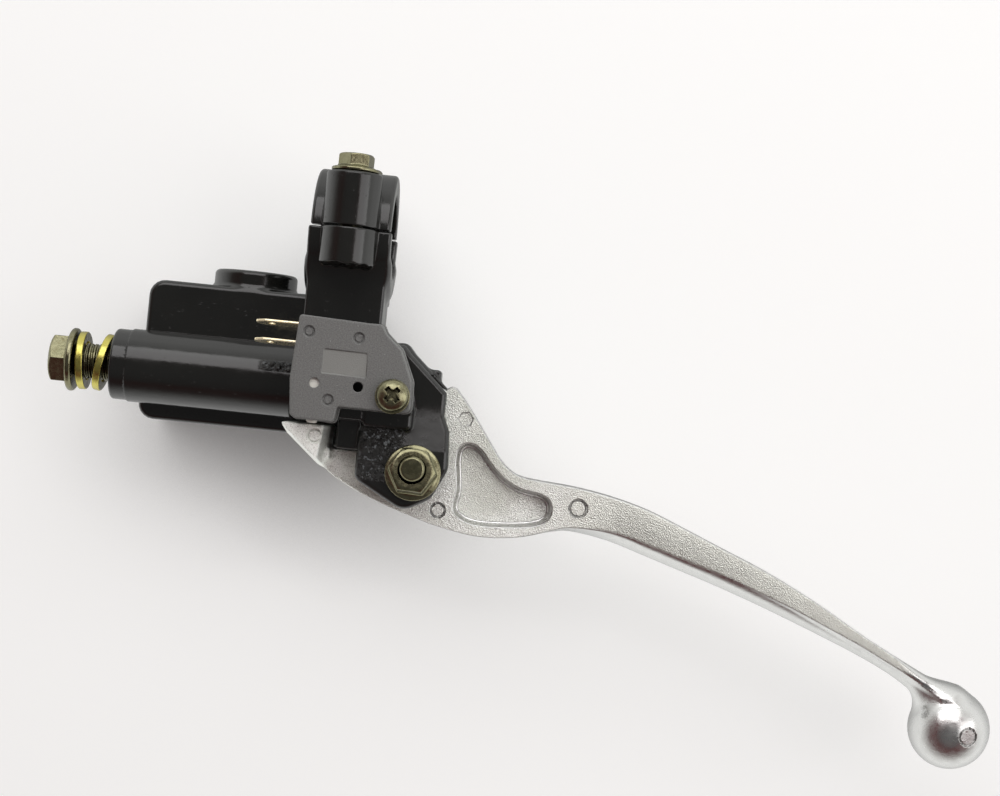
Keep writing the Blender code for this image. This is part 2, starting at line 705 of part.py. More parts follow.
def switch_case():
    """Switch cover and base, held under the casting by one screw and washer."""
    sx, sy = SWITCH_SCREW
    cover = plate("switch_cover", switch_outline(), SWITCH_NEAR_Z, SWITCH_SPLIT_Z, GREY_PLASTIC)
    well = ((-9.1, 24.7), (6.0, 24.9), (8.6, 36.0), (8.6, 44.9), (0.2, 44.9), (-0.3, 49.0), (-9.1, 49.0))
    cut(
        cover,
        plate("switch_well", well, -18.4, -10.0),
        plate("label_recess", rectangle(-3.2, 31.8, 8.0, 38.0, 0.6), -22.0, -19.7),
        rod("peep_hole_a", (-4.9, 40.7, -22), (-4.9, 40.7, -17), 1.3, sides=12),
        rod("peep_hole_b", (6.4, 40.7, -22), (6.4, 40.7, -17), 1.3, sides=12),
        rod("screw_way", (sx, sy, -25), (sx, sy, -10), 2.3, sides=16),
        block("plunger_notch", (PLUNGER_X - 1.9, 47.5, -17.8), (PLUNGER_X + 1.9, 52, -10)),
    )
    for y in (26.3, 31.1):
        cut(cover, block("blade_notch", (-13, y - 1.3, -18.2), (-8, y + 1.3, -10)))

    floor = rounded(
        (
            (-9.8, 24.6, 0.6),
            (11.0, 25.0),
            (15.8, 30.6),
            (19.4, 38.4),
            (19.8, 45.6, 1.0),
            (1.2, 45.8),
            (0.6, 49.8),
            (-9.8, 49.6),
        )
    )
    base = plate("switch_base", floor, SWITCH_SPLIT_Z + GAP, PAD_Z - GAP, GREY_PLASTIC)
    join(base, block("spring_rib", (-7.0, 27.5, -17.8), (-2.8, 28.1, -13.0)))
    cut(base, rod("screw_way_base", (sx, sy, -20), (sx, sy, -5), 2.3, sides=16))

    face = SWITCH_NEAR_Z - GAP
    ring("switch_washer", 2.3, 4.5, face - 0.8, face, ZINC, "Z", SWITCH_SCREW)
    top = face - 0.8 - GAP
    head = ((1.9, -8.2), (1.9, top), (4.1, top), (4.1, top - 1.2), (3.0, top - 2.3))
    profile = ((0, -8.2), *head, (0, top - 2.6))
    screw = turned("switch_screw", profile, ZINC, "Z", SWITCH_SCREW, steps=24)
    cross_recess(screw, sx, sy, top - 2.6, -1.0, math.radians(45))


def switch_blade(name, y, root_x, contact):
    """A spade terminal: tilted outside, then bent along the case to its contact tongue."""
    tilt = Matrix.Rotation(-BLADE_TILT, 4, "X")
    low = (-21.6, y - 0.3, PLUNGER_Z - 2.25)
    high = (root_x + 0.6, y + 0.3, PLUNGER_Z + 2.25)
    blade_part = block(name, low, high, BRASS, tilt)
    lo, hi = sorted((root_x, contact))
    join(
        blade_part,
        block("strip", (root_x, y - 0.3, -17.5), (root_x + 0.6, 36.9, -14.3)),
        block("tongue", (lo, 36.3, -17.5), (hi, 36.9, -14.3)),
    )
    cut(blade_part, rod("blade_hole", (-17.9, y - 3, PLUNGER_Z), (-17.9, y + 3, PLUNGER_Z), 0.9, sides=10))


def switch_works():
    """Terminals, plunger, contact bridge and plunger spring inside the switch."""
    switch_blade("switch_terminal_front", 31.1, -8.6, -6.9)
    switch_blade("switch_terminal_rear", 26.3, 0.0, -2.9)
    at = (PLUNGER_X, PLUNGER_Z)
    profile = ((0, PLUNGER_TIP_Y), (1.0, PLUNGER_TIP_Y), (1.5, 50.4), (1.5, 33.8), (0, 33.8))
    pivot_at(turned("switch_plunger", profile, NYLON, "Y", at, steps=16), PLUNGER_X, 0, PLUNGER_Z)
    lo = (PLUNGER_X - 2.7, 32.9, PLUNGER_Z - 1.8)
    hi = (PLUNGER_X + 2.7, 33.5, PLUNGER_Z + 1.8)
    pivot_at(block("contact_bridge", lo, hi, BRASS), PLUNGER_X, 0, PLUNGER_Z)
    helix("plunger_spring", "Y", (28.7, 32.3), at, 1.4, 0.2, 4, STEEL)


cylinder_body()
reservoir_top()
sight_glass()
clamp()
hose_bolt()
hydraulics()
pivot_hardware()
brake_lever()
switch_case()
switch_works()
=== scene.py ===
"""Looks for the brake master cylinder: fine meshes, materials, stage, light and camera.

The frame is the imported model's: the origin is the centre of the handlebar clamp's bore, +X runs
outboard along the bar, +Y forward and +Z up. Shapes below are written in millimetres, and MM turns
them into metres where a mesh is made.

Castings, mouldings and fasteners are signed distance fields: a function gives how far each point is
from the surface, negative inside. That lets every inner corner be a true cast fillet and every
edge be rounded. skin() turns a field into a mesh whose vertices and normals lie on the field.
"""

import json
import math

import bpy
import numpy as np
from mathutils import Matrix, Vector


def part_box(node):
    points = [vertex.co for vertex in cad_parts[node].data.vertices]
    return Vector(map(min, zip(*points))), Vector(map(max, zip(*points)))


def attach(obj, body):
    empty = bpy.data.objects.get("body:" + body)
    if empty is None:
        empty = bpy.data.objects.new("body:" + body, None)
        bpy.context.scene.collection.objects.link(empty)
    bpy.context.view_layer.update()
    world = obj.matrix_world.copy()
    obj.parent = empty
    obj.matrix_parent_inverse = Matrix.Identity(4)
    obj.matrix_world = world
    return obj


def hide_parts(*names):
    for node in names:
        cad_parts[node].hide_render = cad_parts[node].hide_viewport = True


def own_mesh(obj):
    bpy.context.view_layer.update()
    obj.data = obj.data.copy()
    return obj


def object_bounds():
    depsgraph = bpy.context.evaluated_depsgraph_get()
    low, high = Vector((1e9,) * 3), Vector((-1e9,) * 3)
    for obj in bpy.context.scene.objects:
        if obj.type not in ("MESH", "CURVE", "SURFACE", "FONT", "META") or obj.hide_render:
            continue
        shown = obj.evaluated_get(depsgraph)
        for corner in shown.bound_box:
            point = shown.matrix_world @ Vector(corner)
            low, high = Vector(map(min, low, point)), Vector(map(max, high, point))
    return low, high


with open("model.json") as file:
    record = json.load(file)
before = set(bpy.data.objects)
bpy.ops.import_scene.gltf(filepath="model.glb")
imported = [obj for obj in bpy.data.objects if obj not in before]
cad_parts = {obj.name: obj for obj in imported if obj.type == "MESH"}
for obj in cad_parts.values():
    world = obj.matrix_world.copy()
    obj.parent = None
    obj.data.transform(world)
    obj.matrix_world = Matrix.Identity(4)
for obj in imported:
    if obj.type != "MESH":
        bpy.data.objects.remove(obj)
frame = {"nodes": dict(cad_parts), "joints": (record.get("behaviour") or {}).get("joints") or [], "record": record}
CAD_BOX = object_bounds()
MM = 0.001
DRAFT = 1  # coarser meshes while trying things


# ---------------- sizes taken from the frame


def box_mm(node):
    """Lowest and highest corners of a CAD node, in millimetres."""
    return [np.array(corner) * 1000 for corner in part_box(node)]


def middle_mm(node):
    low, high = box_mm(node)
    return (low + high) / 2


def joint_point(name):
    return [c * 1000 for c in next(j for j in frame["joints"] if j["name"] == name)["pos_m"]]


PIVOT = joint_point("lever_pivot")[:2]
BORE_Y = float(middle_mm("stop_washer")[1])
LOWER_BOLT_Z = float(middle_mm("clamp_bolt_lower")[2])
TANK_LO, TANK_HI = box_mm("reservoir_cover")
GLASS = middle_mm("sight_glass_gasket")
CAP_HALF = float(box_mm("clamp_cap")[1][0])
SWITCH_SCREW = middle_mm("switch_washer")[:2]
PLUNGER = middle_mm("switch_plunger")
LEVER_HIGH = box_mm("brake_lever")[1]

# ---------------- sizes of the visible shapes

BAR_R = 11.1
CLAMP_R = 16.25
BODY_HALF = 10.8
BOSS_R = 7.25
SPLIT_Y = (-0.3, 0.15)
SEAT_Y = -14.2  # face that the clamp bolts' flanges sit on
SEAT_GAP = 0.3  # between a flange or head and the painted face under it
BOSS_FOOT_Y = 9.6  # where the lower half's bolt bosses end on the stem
THREAD_R = 3  # M6 clamp bolts

STEM_HALF = 10.3
STEM_NEAR = -12
BARREL_R = 9.75
STEP_X = -55.9
RING_R = 9.4
RING_X = -60.2
BORE_R = 6.35
COUNTER_R = 7.5
MOUTH_X = 9

TANK_FLOOR = 5
TANK_TOP = 31
TANK_CORNER = 4.2
TANK_WALL = 3

EAR_IN = 4.5
EAR_OUT = 11
SLOPE_Y = 43.5  # where the lower ear's slope ends beside the stem
SLOPE_LENGTH = 12
PIVOT_R = 4.3
LUG_Y = 57.2

HEAD_HALF = 4.2
BLADE_HALF = 5.1
BALL_R = 10.75
BALL = (float(LEVER_HIGH[0]) - BALL_R, float(LEVER_HIGH[1]) - BALL_R)
TAB_NEAR = -16.2

SWITCH_NEAR = -20
SWITCH_SPLIT = -13.6

HOSE_HEAD = 6.7  # height of the hose bolt's hexagon and flange together
LOOSE_WASHERS = {"outer": (-68.4, -3), "inner": (-62.9, 10.5)}  # X, and tilt in degrees
NUT_LEAN = math.radians(8)
SCREW_LEAN = math.radians(5)
WINDOW_Y = 16  # inner face of the sight glass
SPRING_R = 5.35
SPRING_WIRE_R = 0.5
SPRING_TURNS = 8


# ---------------- signed distance fields
# A point set p is a tuple of three arrays, X, Y and Z. Every function works on whole arrays.


def both(a, b, r=0):
    """Intersection, with the outer edge between the two fields rounded to radius r."""
    if np.isscalar(r) and r == 0:
        return np.maximum(a, b)
    u, v = a + r, b + r
    return np.minimum(np.maximum(u, v), 0) + np.hypot(np.maximum(u, 0), np.maximum(v, 0)) - r


def either(a, b, r=0):
    """Union, with a fillet of radius r in the corner between the two."""
    return -both(-a, -b, r)


def without(a, b, r=0):
    """Field a with field b cut away, and the cut's edge rounded to radius r."""
    return both(a, -b, r)


def slab(x, low, high):
    """The layer between two values of one coordinate."""
    return np.abs(x - (low + high) / 2) - (high - low) / 2


def brick(p, low, high, r=0):
    """A box with rounded edges."""
    q = [slab(x, a, b) + r for x, a, b in zip(p, low, high)]
    outside = np.sqrt(sum(np.maximum(c, 0) ** 2 for c in q))
    return outside + np.minimum(np.maximum.reduce(q), 0) - r


def rod(p, axis, centre, radius, low, high, r=0):
    """A cylinder along one axis. centre holds its place in the other two coordinates, in order."""
    u, v = [p[i] for i in range(3) if i != axis]
    return both(np.hypot(u - centre[0], v - centre[1]) - radius, slab(p[axis], low, high), r)


def disc(p, radius, low, high, r=0):
    """A cylinder about the Z axis."""
    return rod(p, 2, (0, 0), radius, low, high, r)


def in_line(p, radius, low, high, r=0):
    """A cylinder about the bore's axis."""
    return rod(p, 0, (BORE_Y, 0), radius, low, high, r)


def from_axis(p):
    """Distance from the Z axis."""
    return np.hypot(p[0], p[1])


def sphere(p, centre, radius):
    return np.sqrt(sum((x - c) ** 2 for x, c in zip(p, centre))) - radius


def hexagon(x, y, flats, angle):
    """A hexagon with one pair of flats facing along an angle."""
    sides = [angle + k * math.pi / 3 for k in range(3)]
    far = [np.abs(x * math.cos(a) + y * math.sin(a)) for a in sides]
    return np.maximum.reduce(far) - flats / 2


def outline_distance(x, y, points):
    """Signed distance in a plane to a closed outline."""
    nearest = np.full(x.shape, 1e9, np.float32)
    inside = np.zeros(x.shape, bool)
    for (x0, y0), (x1, y1) in zip(points, points[1:] + points[:1]):
        ex, ey = x1 - x0, y1 - y0
        wx, wy = x - x0, y - y0
        t = np.clip((wx * ex + wy * ey) / (ex * ex + ey * ey), 0, 1)
        nearest = np.minimum(nearest, (wx - ex * t) ** 2 + (wy - ey * t) ** 2)
        if ey != 0:
            inside ^= ((y0 <= y) != (y1 <= y)) & (wx < wy * (ex / ey))
    return np.where(inside, -1, 1) * np.sqrt(nearest)


def plate(p, points, low, high, r=0):
    """An outline in X and Y, as thick as low to high in Z."""
    return both(outline_distance(p[0], p[1], points), slab(p[2], low, high), r)


def rounded(corners, steps=5):
    """Round the corners of an outline. A corner is (x, y) or (x, y, radius)."""
    points = []
    for i, corner in enumerate(corners):
        here = Vector(corner[:2])
        if len(corner) == 2:
            points.append(tuple(here))
            continue
        back = (Vector(corners[i - 1][:2]) - here).normalized()
        ahead = (Vector(corners[(i + 1) % len(corners)][:2]) - here).normalized()
        half = back.angle(ahead) / 2
        centre = here + (back + ahead).normalized() * (corner[2] / math.sin(half))
        first = here + back * (corner[2] / math.tan(half)) - centre
        last = here + ahead * (corner[2] / math.tan(half)) - centre
        sweep = first.angle_signed(last)
        for step in range(steps + 1):
            points.append(tuple(centre + Matrix.Rotation(-sweep * step / steps, 2) @ first))
    return points


def rectangle(x_lo, y_lo, x_hi, y_hi, radius):
    corners = ((x_lo, y_lo), (x_hi, y_lo), (x_hi, y_hi), (x_lo, y_hi))
    return rounded([(x, y, radius) for x, y in corners])


def grown(points, by):
    """An outline moved outwards everywhere. It runs anticlockwise or clockwise."""
    before, after = points[-1:] + points[:-1], points[1:] + points[:1]
    area = sum(x0 * y1 - x1 * y0 for (x0, y0), (x1, y1) in zip(points, after))
    side = math.copysign(by, area)
    moved = []
    for (xa, ya), (x, y), (xb, yb) in zip(before, points, after):
        along = Vector((xb - xa, yb - ya)).normalized()
        moved.append((x + along.y * side, y - along.x * side))
    return moved


def arc(centre, radius, start, end, steps):
    """Points on a circle from one angle to another, in degrees."""
    angles = (math.radians(start + (end - start) * i / steps) for i in range(steps + 1))
    return [(centre[0] + radius * math.cos(a), centre[1] + radius * math.sin(a)) for a in angles]


def smooth_line(points, steps=4):
    """A Catmull-Rom curve through an open row of points."""
    rows = [Vector(q) for q in points]
    rows = [rows[0] * 2 - rows[1], *rows, rows[-1] * 2 - rows[-2]]
    line = []
    for a, b, c, d in zip(rows, rows[1:], rows[2:], rows[3:]):
        bend, twist = 2 * a - 5 * b + 4 * c - d, 3 * b - a - 3 * c + d
        for k in range(steps):
            t = k / steps
            line.append(tuple((2 * b + (c - a) * t + bend * t**2 + twist * t**3) / 2))
    return [*line, tuple(rows[-2])]


def ramp(x, start, end):
    """0 before start, 1 after end, and smooth between them."""
    t = np.clip((x - start) / (end - start), 0, 1)
    return t * t * (3 - 2 * t)


# ---------------- from a field to a mesh

BLOCK = 8


def sampled(field, low, counts, step):
    """Field values on a grid, worked out only in the blocks that the surface can pass."""
    blocks = -(-counts // BLOCK)
    corner = np.indices(blocks).reshape(3, -1).T
    centres = (low + (corner + 0.5) * BLOCK * step).astype(np.float32)
    near = field(tuple(centres.T))
    grid = np.where(near < 0, -step, step).astype(np.float32).reshape(blocks)
    for axis in range(3):
        grid = grid.repeat(BLOCK, axis=axis)
    cell = np.indices((BLOCK,) * 3).reshape(3, -1).T
    # A block's corners lie half its diagonal from its centre. Two steps more make it safe.
    active = corner[np.abs(near) < BLOCK * step * 0.87 + 2 * step]
    for group in np.array_split(active, max(1, len(active) // 200)):
        node = (group[:, None] * BLOCK + cell).reshape(-1, 3)
        place = (low + node * step).astype(np.float32)
        grid[tuple(node.T)] = field(tuple(place.T))
    return grid


def surface_net(grid):
    """Vertices, in grid steps, and quads of the surface where the grid's values change sign."""
    inside = grid < 0
    size = np.array(grid.shape) - 1
    total = np.zeros(size, np.uint8)
    offsets = [np.array(o) for o in np.ndindex(2, 2, 2)]
    for o in offsets:
        total += inside[tuple(slice(a, a + n) for a, n in zip(o, size))]
    crossed = (total > 0) & (total < 8)
    number = np.full(size, -1, np.int32)
    number[crossed] = np.arange(crossed.sum())
    cell = np.argwhere(crossed)
    sum_of = np.zeros((len(cell), 3))
    hits = np.zeros(len(cell))
    faces = []
    for axis in range(3):
        along = np.eye(3, dtype=int)[axis]
        for o in offsets:
            if o[axis]:
                continue
            a, b = grid[tuple((cell + o).T)], grid[tuple((cell + o + along).T)]
            hit = (a < 0) != (b < 0)
            share = np.where(hit, a / np.where(hit, a - b, 1), 0)
            sum_of[hit] += (o + share[:, None] * along)[hit]
            hits[hit] += 1
        u, v = np.eye(3, dtype=int)[(axis + 1) % 3], np.eye(3, dtype=int)[(axis + 2) % 3]
        first = inside[tuple(slice(None, -1) if i == axis else slice(1, -1) for i in range(3))]
        second = inside[tuple(slice(1, None) if i == axis else slice(1, -1) for i in range(3))]
        for start, change in ((True, first & ~second), (False, second & ~first)):
            edge = np.argwhere(change) + (u + v)
            ring = [number[tuple((edge - d).T)] for d in (0 * u, u, u + v, v)]
            faces.append(np.stack(ring if start else ring[::-1], axis=1))
    return cell + sum_of / hits[:, None], np.concatenate(faces)


def slope(field, points, reach):
    """The field's gradient at each point."""
    columns = []
    for axis in range(3):
        step = np.eye(3)[axis] * reach
        ahead, behind = (tuple((points + s).astype(np.float64).T) for s in (step, -step))
        columns.append((field(ahead) - field(behind)) / (2 * reach))
    return np.stack(columns, axis=1)


def settle(field, points, step, rounds):
    """Move points along the gradient onto the surface."""
    for _ in range(rounds):
        way = slope(field, points, 0.02)
        lean = np.maximum((way**2).sum(axis=1), 0.25)
        shift = np.clip(field(tuple(points.T)) / lean, -step, step)
        points = points - way * shift[:, None]
    return points


def put(name, data):
    """An object in the scene."""
    obj = bpy.data.objects.new(name, data)
    bpy.context.scene.collection.objects.link(obj)
    return obj


def mesh_object(name, points, faces):
    mesh = bpy.data.meshes.new(name)
    mesh.from_pydata(points, [], faces)
    return put(name, mesh)


def as_evaluated(obj):
    """A new mesh of an object with its modifiers or its curve's bevel applied."""
    return bpy.data.meshes.new_from_object(obj.evaluated_get(bpy.context.evaluated_depsgraph_get()))


def skin(name, field, low, high, step, ratio, turn=None):
    """A mesh object of a field between two corners. ratio is the share of faces to keep.

    turn is a matrix, in millimetres, that places a piece modelled in a frame of its own.
    """
    step *= DRAFT
    low = np.array(low, float) - 2.5 * step
    counts = np.ceil((np.array(high, float) + 2.5 * step - low) / step).astype(int)
    points, faces = surface_net(sampled(field, low, counts, step))
    points = settle(field, low + points * step, step, 2)
    obj = mesh_object(name, points.tolist(), faces.tolist())
    obj.modifiers.new("Thin", "DECIMATE").ratio = ratio
    obj.data = mesh = as_evaluated(obj)
    obj.modifiers.clear()
    points = np.empty(len(mesh.vertices) * 3)
    mesh.vertices.foreach_get("co", points)
    points = settle(field, points.reshape(-1, 3), step / 2, 1)
    way = slope(field, points, 0.05)
    way /= np.maximum(np.linalg.norm(way, axis=1), 1e-6)[:, None]
    if turn is not None:
        spin = np.array(turn.to_3x3())
        points = points @ spin.T + np.array(turn.translation)
        way = way @ spin.T
    mesh.vertices.foreach_set("co", (points * MM).ravel())
    mesh.shade_smooth()
    mesh.update()
    mesh.normals_split_custom_set_from_vertices(way.tolist())
    return obj


# ---------------- the casting


# The lever ears' outline, from the stop lug round the pivot and up to the clamp's stem.
EAR = rounded(
    [(7, 28.5), (7, 64.6, 3), (20.6, 71.9, 5), (27.6, 68, 5), (31.3, 60, 3)]
    + [(30.7, 50, 1.5), (29, 46.2, 2), (29, 40, 1), (19, 31, 1), (16.8, 28.5, 1.5)]
)
EAR_WIDE = grown(EAR, 0.7)
PAD = rounded(
    ((-9.5, 26), (11, 26), (15.5, 30.2), (18.8, 38), (20.8, 46.4, 1), (-9.5, 46.4))
)
TANK_RIM = rectangle(*TANK_LO[:2], *TANK_HI[:2], TANK_CORNER)
TANK_HOLLOW = rectangle(*(TANK_LO + TANK_WALL)[:2], *(TANK_HI - TANK_WALL)[:2], 2)
COVER_SCREWS = [tuple(middle_mm(f"cover_screw_{i}")[:2]) for i in (1, 2)]
LEVER_SLOT = [(MOUTH_X, 35.6), (60, 35.6), (60, 80), (-20, 80), (-20, LUG_Y), (MOUTH_X, LUG_Y)]
MIRROR_BOSS = rectangle(8, 34, 26.6, 52.4, 1)
MIRROR_HOLE = (17.3, 43.2)


def tank(p):
    """Reservoir: a box with cast corners, its hollow, and a post for each cover screw."""
    shell = plate(p, TANK_RIM, TANK_FLOOR, TANK_TOP, 1.5)
    shell = np.minimum(shell, plate(p, TANK_RIM, TANK_FLOOR + 4, TANK_TOP, 0.3))
    shell = without(shell, plate(p, TANK_HOLLOW, TANK_FLOOR + 3.5, TANK_TOP + 9, 0.8), 0.3)
    for screw in COVER_SCREWS:
        shell = either(shell, rod(p, 2, screw, 4, TANK_FLOOR + 1, TANK_TOP, 0.3), 1)
    return shell


def clamp_half(p, half, r, low, high, sag=0):
    """Half of the bar clamp: a ring with a boss round each bolt. sag makes the bosses uneven."""
    ring = rod(p, 0, (0, 0), CLAMP_R, -half, half, r)
    for z in (LOWER_BOLT_Z, -LOWER_BOLT_Z):
        uneven = sag * np.sin(0.9 * p[0] + 0.6) * np.sin(1.1 * p[2] + 0.7 * p[0])
        shifted = (p[0], p[1] + uneven, p[2])
        boss = rod(shifted, 1, (0, z), BOSS_R, low, high, 0.6 if sag else 0.7)
        ring = either(ring, boss, 0.6)
    return ring


def web(p):
    """Ears: the lower one's near face slopes gently back towards the stem."""
    x, y, z = p
    past = y - SLOPE_Y
    run = SLOPE_LENGTH - (past + np.sqrt(past**2 + 4)) / 2
    sloped = 0.24 * np.clip(run, 0, SLOPE_LENGTH)
    lower = plate((x, y, z - sloped), EAR, -EAR_OUT, 0, 1.5)
    upper = plate(p, EAR_WIDE, 0, EAR_OUT, 1.2)
    return np.minimum(lower, upper)


def cylinder_body(p):
    """The whole casting, then everything that is machined or cored out of it."""
    y, z = p[1:]
    barrel = in_line(p, BARREL_R, STEP_X, MOUTH_X, 0.35)
    end_ring = in_line(p, RING_R, RING_X, STEP_X + 2, 0.8)
    body = either(tank(p), np.minimum(barrel, end_ring), 1.6)
    stem = brick(p, (-STEM_HALF, 8, STEM_NEAR), (STEM_HALF, 33, TANK_FLOOR + 3), 0.9)
    neck = brick(p, (-STEM_HALF, 8, 0), (STEM_HALF, 18.5, 14), 0.9)
    stem = either(np.minimum(stem, neck), plate(p, PAD, STEM_NEAR, 3, 0.6), 0.3)
    half = clamp_half(p, BODY_HALF, 0.9, SPLIT_Y[1] - 3, BOSS_FOOT_Y, 0.3)
    stem = either(stem, half, 2.8)
    body = either(body, stem, 1.5)
    body = either(body, rod(p, 1, (GLASS[0], GLASS[2]), 11.3, 12.3, 20, 1.3), 1.4)
    body = either(body, web(p), 1.2)
    ledge = brick(p, (7.6, 45, STEM_NEAR), (20.8, 50.8, -EAR_IN), 1.3)
    lug = either(
        brick(p, (1.2, 45, -9), (8, LUG_Y, 9), 0.7),
        brick(p, (1.2, 45, STEM_NEAR), (8, 49.4, 0), 0.8),
        0.4,
    )
    lug = either(lug, brick(p, (-1.2, 48, 4.2), (8, LUG_Y, 9), 0.5), 0.4)
    body = either(either(body, ledge, 0.8), lug, 0.6)
    body = either(body, plate(p, MIRROR_BOSS, 6, 19, 0.7), 0.8)

    body = without(body, y - SPLIT_Y[1], 0.4)
    body = without(body, np.hypot(y, z) - BAR_R, 0.5)
    body = without(body, plate(p, LEVER_SLOT, -EAR_IN, EAR_IN, 0.5), 0.5)
    bores = (
        in_line(p, COUNTER_R, 2.5, 14.3, 0.3),
        in_line(p, COUNTER_R + 0.6, 3.9, 5.3),
        in_line(p, BORE_R, -50, 3.5),
        in_line(p, 5.2, RING_X - 2, -49),
        rod(p, 2, (-16, BORE_Y), 1.5, 4, 13),
        rod(p, 2, PIVOT, PIVOT_R, -20, 20),
        rod(p, 2, MIRROR_HOLE, 4, 9.5, 25, 0.3),
        rod(p, 2, SWITCH_SCREW, 2.2, STEM_NEAR - 2, -7.8),
        rod(p, 1, (GLASS[0], GLASS[2]), 8.6, 8, 17.6, 0.3),
        rod(p, 1, (GLASS[0], GLASS[2]), 6.5, 17, 22),
        *(rod(p, 1, (0, s), THREAD_R + 0.3, -2, 9.5) for s in (LOWER_BOLT_Z, -LOWER_BOLT_Z)),
        *(rod(p, 2, screw, 2.2, 20, TANK_TOP + 2) for screw in COVER_SCREWS),
    )
    return without(body, np.minimum.reduce(bores), 0.3)


def clamp_cap(p):
    """Upper clamp half, whose bore and bolt holes are machined."""
    cap = clamp_half(p, CAP_HALF, 1.1, SEAT_Y, SPLIT_Y[0] + 3)
    cap = without(cap, SPLIT_Y[0] - p[1], 0.4)
    cap = without(cap, np.hypot(p[1], p[2]) - BAR_R, 0.5)
    for z in (LOWER_BOLT_Z, -LOWER_BOLT_Z):
        cap = without(cap, rod(p, 1, (0, z), THREAD_R + 0.3, -30, 5), 0.3)
    return cap


# ---------------- the lever

RIDER_SIDE = smooth_line(
    [(31.5, 38.5), (35.3, 43), (41.5, 51.5), (44.5, 55.6), (47.3, 58.3), (50.3, 59.9)]
    + [(55, 60.6), (65.2, 61.4), (75.3, 63), (85.4, 65.6), (95.5, 69.5), (105.6, 73.6)]
    + [(118, 78.6), (130.8, 84.7), (146, 93.2), (161.1, 100.8), (171.2, 105.4)]
)
FINGER_SIDE = smooth_line(
    [(162, 108), (156.8, 104.5), (151, 101.3), (140.9, 96.9), (120.7, 89.2), (105.6, 84)]
    + [(95.5, 80.9), (85.4, 77.8), (75.3, 74.8), (65.2, 73.3), (60, 74), (50, 76.4)]
    + [(40, 77), (30, 75.4), (24.5, 74), (16.2, 71.5), (8, 68.3), (0, 64), (-2.4, 60.8)]
)
CAM = [(9.3, LUG_Y + 0.3), (14, 55), (18.4, 47.5)]
CAM += [*arc((PIVOT[0], BORE_Y), 4.3, 165, 280, 8), (28.4, 39.2), (29.6, 38.3), (30.3, 38)]
LEVER = [*RIDER_SIDE, (168, 112), *FINGER_SIDE, (-2.5, LUG_Y + 0.3), *CAM]
POCKET = smooth_line(
    [(33.2, 58), (33.4, 54.8), (35, 52.9), (37.2, 52.8), (39.6, 54.2), (42, 57), (45, 60)]
    + [(48.4, 62.3), (52, 63.6), (56, 64.2), (58.6, 65.6), (59.4, 68.2), (58.4, 70.9)]
    + [(55, 72.7), (48, 73.7), (40, 73.9), (35.6, 72.6), (33.5, 70), (34.1, 65), (33.2, 58)],
    steps=3,
)[:-1]
MIDLINE_X = (60, 70, 85, 105, 125, 145, 160, 176)
MIDLINE_Y = (67.5, 67.8, 71.3, 78.6, 86.5, 95.6, 103.4, 112)


def blade_plate(p):
    """Head and blade: flat faces, with the blade's finger side swelling out to a round edge."""
    x, y, z = p
    off = y - np.interp(x, MIDLINE_X, MIDLINE_Y)
    half = HEAD_HALF + (BLADE_HALF - HEAD_HALF) * ramp(x, 48, 72)
    half = half - 0.35 * ramp(x, 60, 90) * (off / 7) ** 2
    flat = outline_distance(x, y, LEVER)
    height = np.clip(np.abs(z) / half, 0, 1.5)
    swell = 2.7 * ramp(x, 52, 82) * height**1.25
    finger = ramp(off, -1.5, 1.5)
    edge = 0.4 + finger * (0.75 * ramp(x, 60, 95) + 2.2 * ramp(x, 90, 160))
    edge = np.minimum(edge + 2.4 * ramp(x, 150, 166), 3.3)
    return both(flat + swell * finger, np.abs(z) - half, edge) * 0.93


def tab(p):
    """The tab that works the brake-light switch, drafted on every side but the switch's."""
    x, y, z = p
    spread = 0.13 * np.clip(z - TAB_NEAR, 0, 13)
    left = ((y - 52.4) * 0.766 - (x + 12.3) * 0.643) - spread
    right = (x + 1.6) * 0.993 + (y - 51.4) * 0.115 - spread
    side = both(both(left, 51.4 - y, 0.5), both(right, y - 60.8 - spread, 0.7), 0.6)
    return both(both(side, -12.6 - x, 0.5), slab(z, TAB_NEAR, 3.5), 0.6)


def pin_mark(p, centre, near, radius):
    """The round mark that an ejector pin leaves in a face towards -Z, deeper round its edge."""
    dish = rod(p, 2, centre, radius, near - 5, near + 0.2, 0.05)
    edge = rod(p, 2, centre, radius, near - 5, near + 0.55, 0.05)
    inner = np.hypot(p[0] - centre[0], p[1] - centre[1]) - radius + 0.4
    return np.minimum(dish, np.maximum(edge, -inner))


def ball_mark(p):
    """The same mark on the ball, square to its surface."""
    outward = (0.285, 0.05, -0.957)
    offset = [c - m for c, m in zip(p, (*BALL, 0))]
    along = sum(c * n for c, n in zip(offset, outward))
    across = np.sqrt(np.maximum(sum(c * c for c in offset) - along**2, 0))
    dish = np.maximum(across - 2.5, BALL_R - 0.38 - along)
    edge = np.maximum(across - 2.5, BALL_R - 0.78 - along)
    return np.minimum(dish, np.maximum(edge, 2.1 - across))


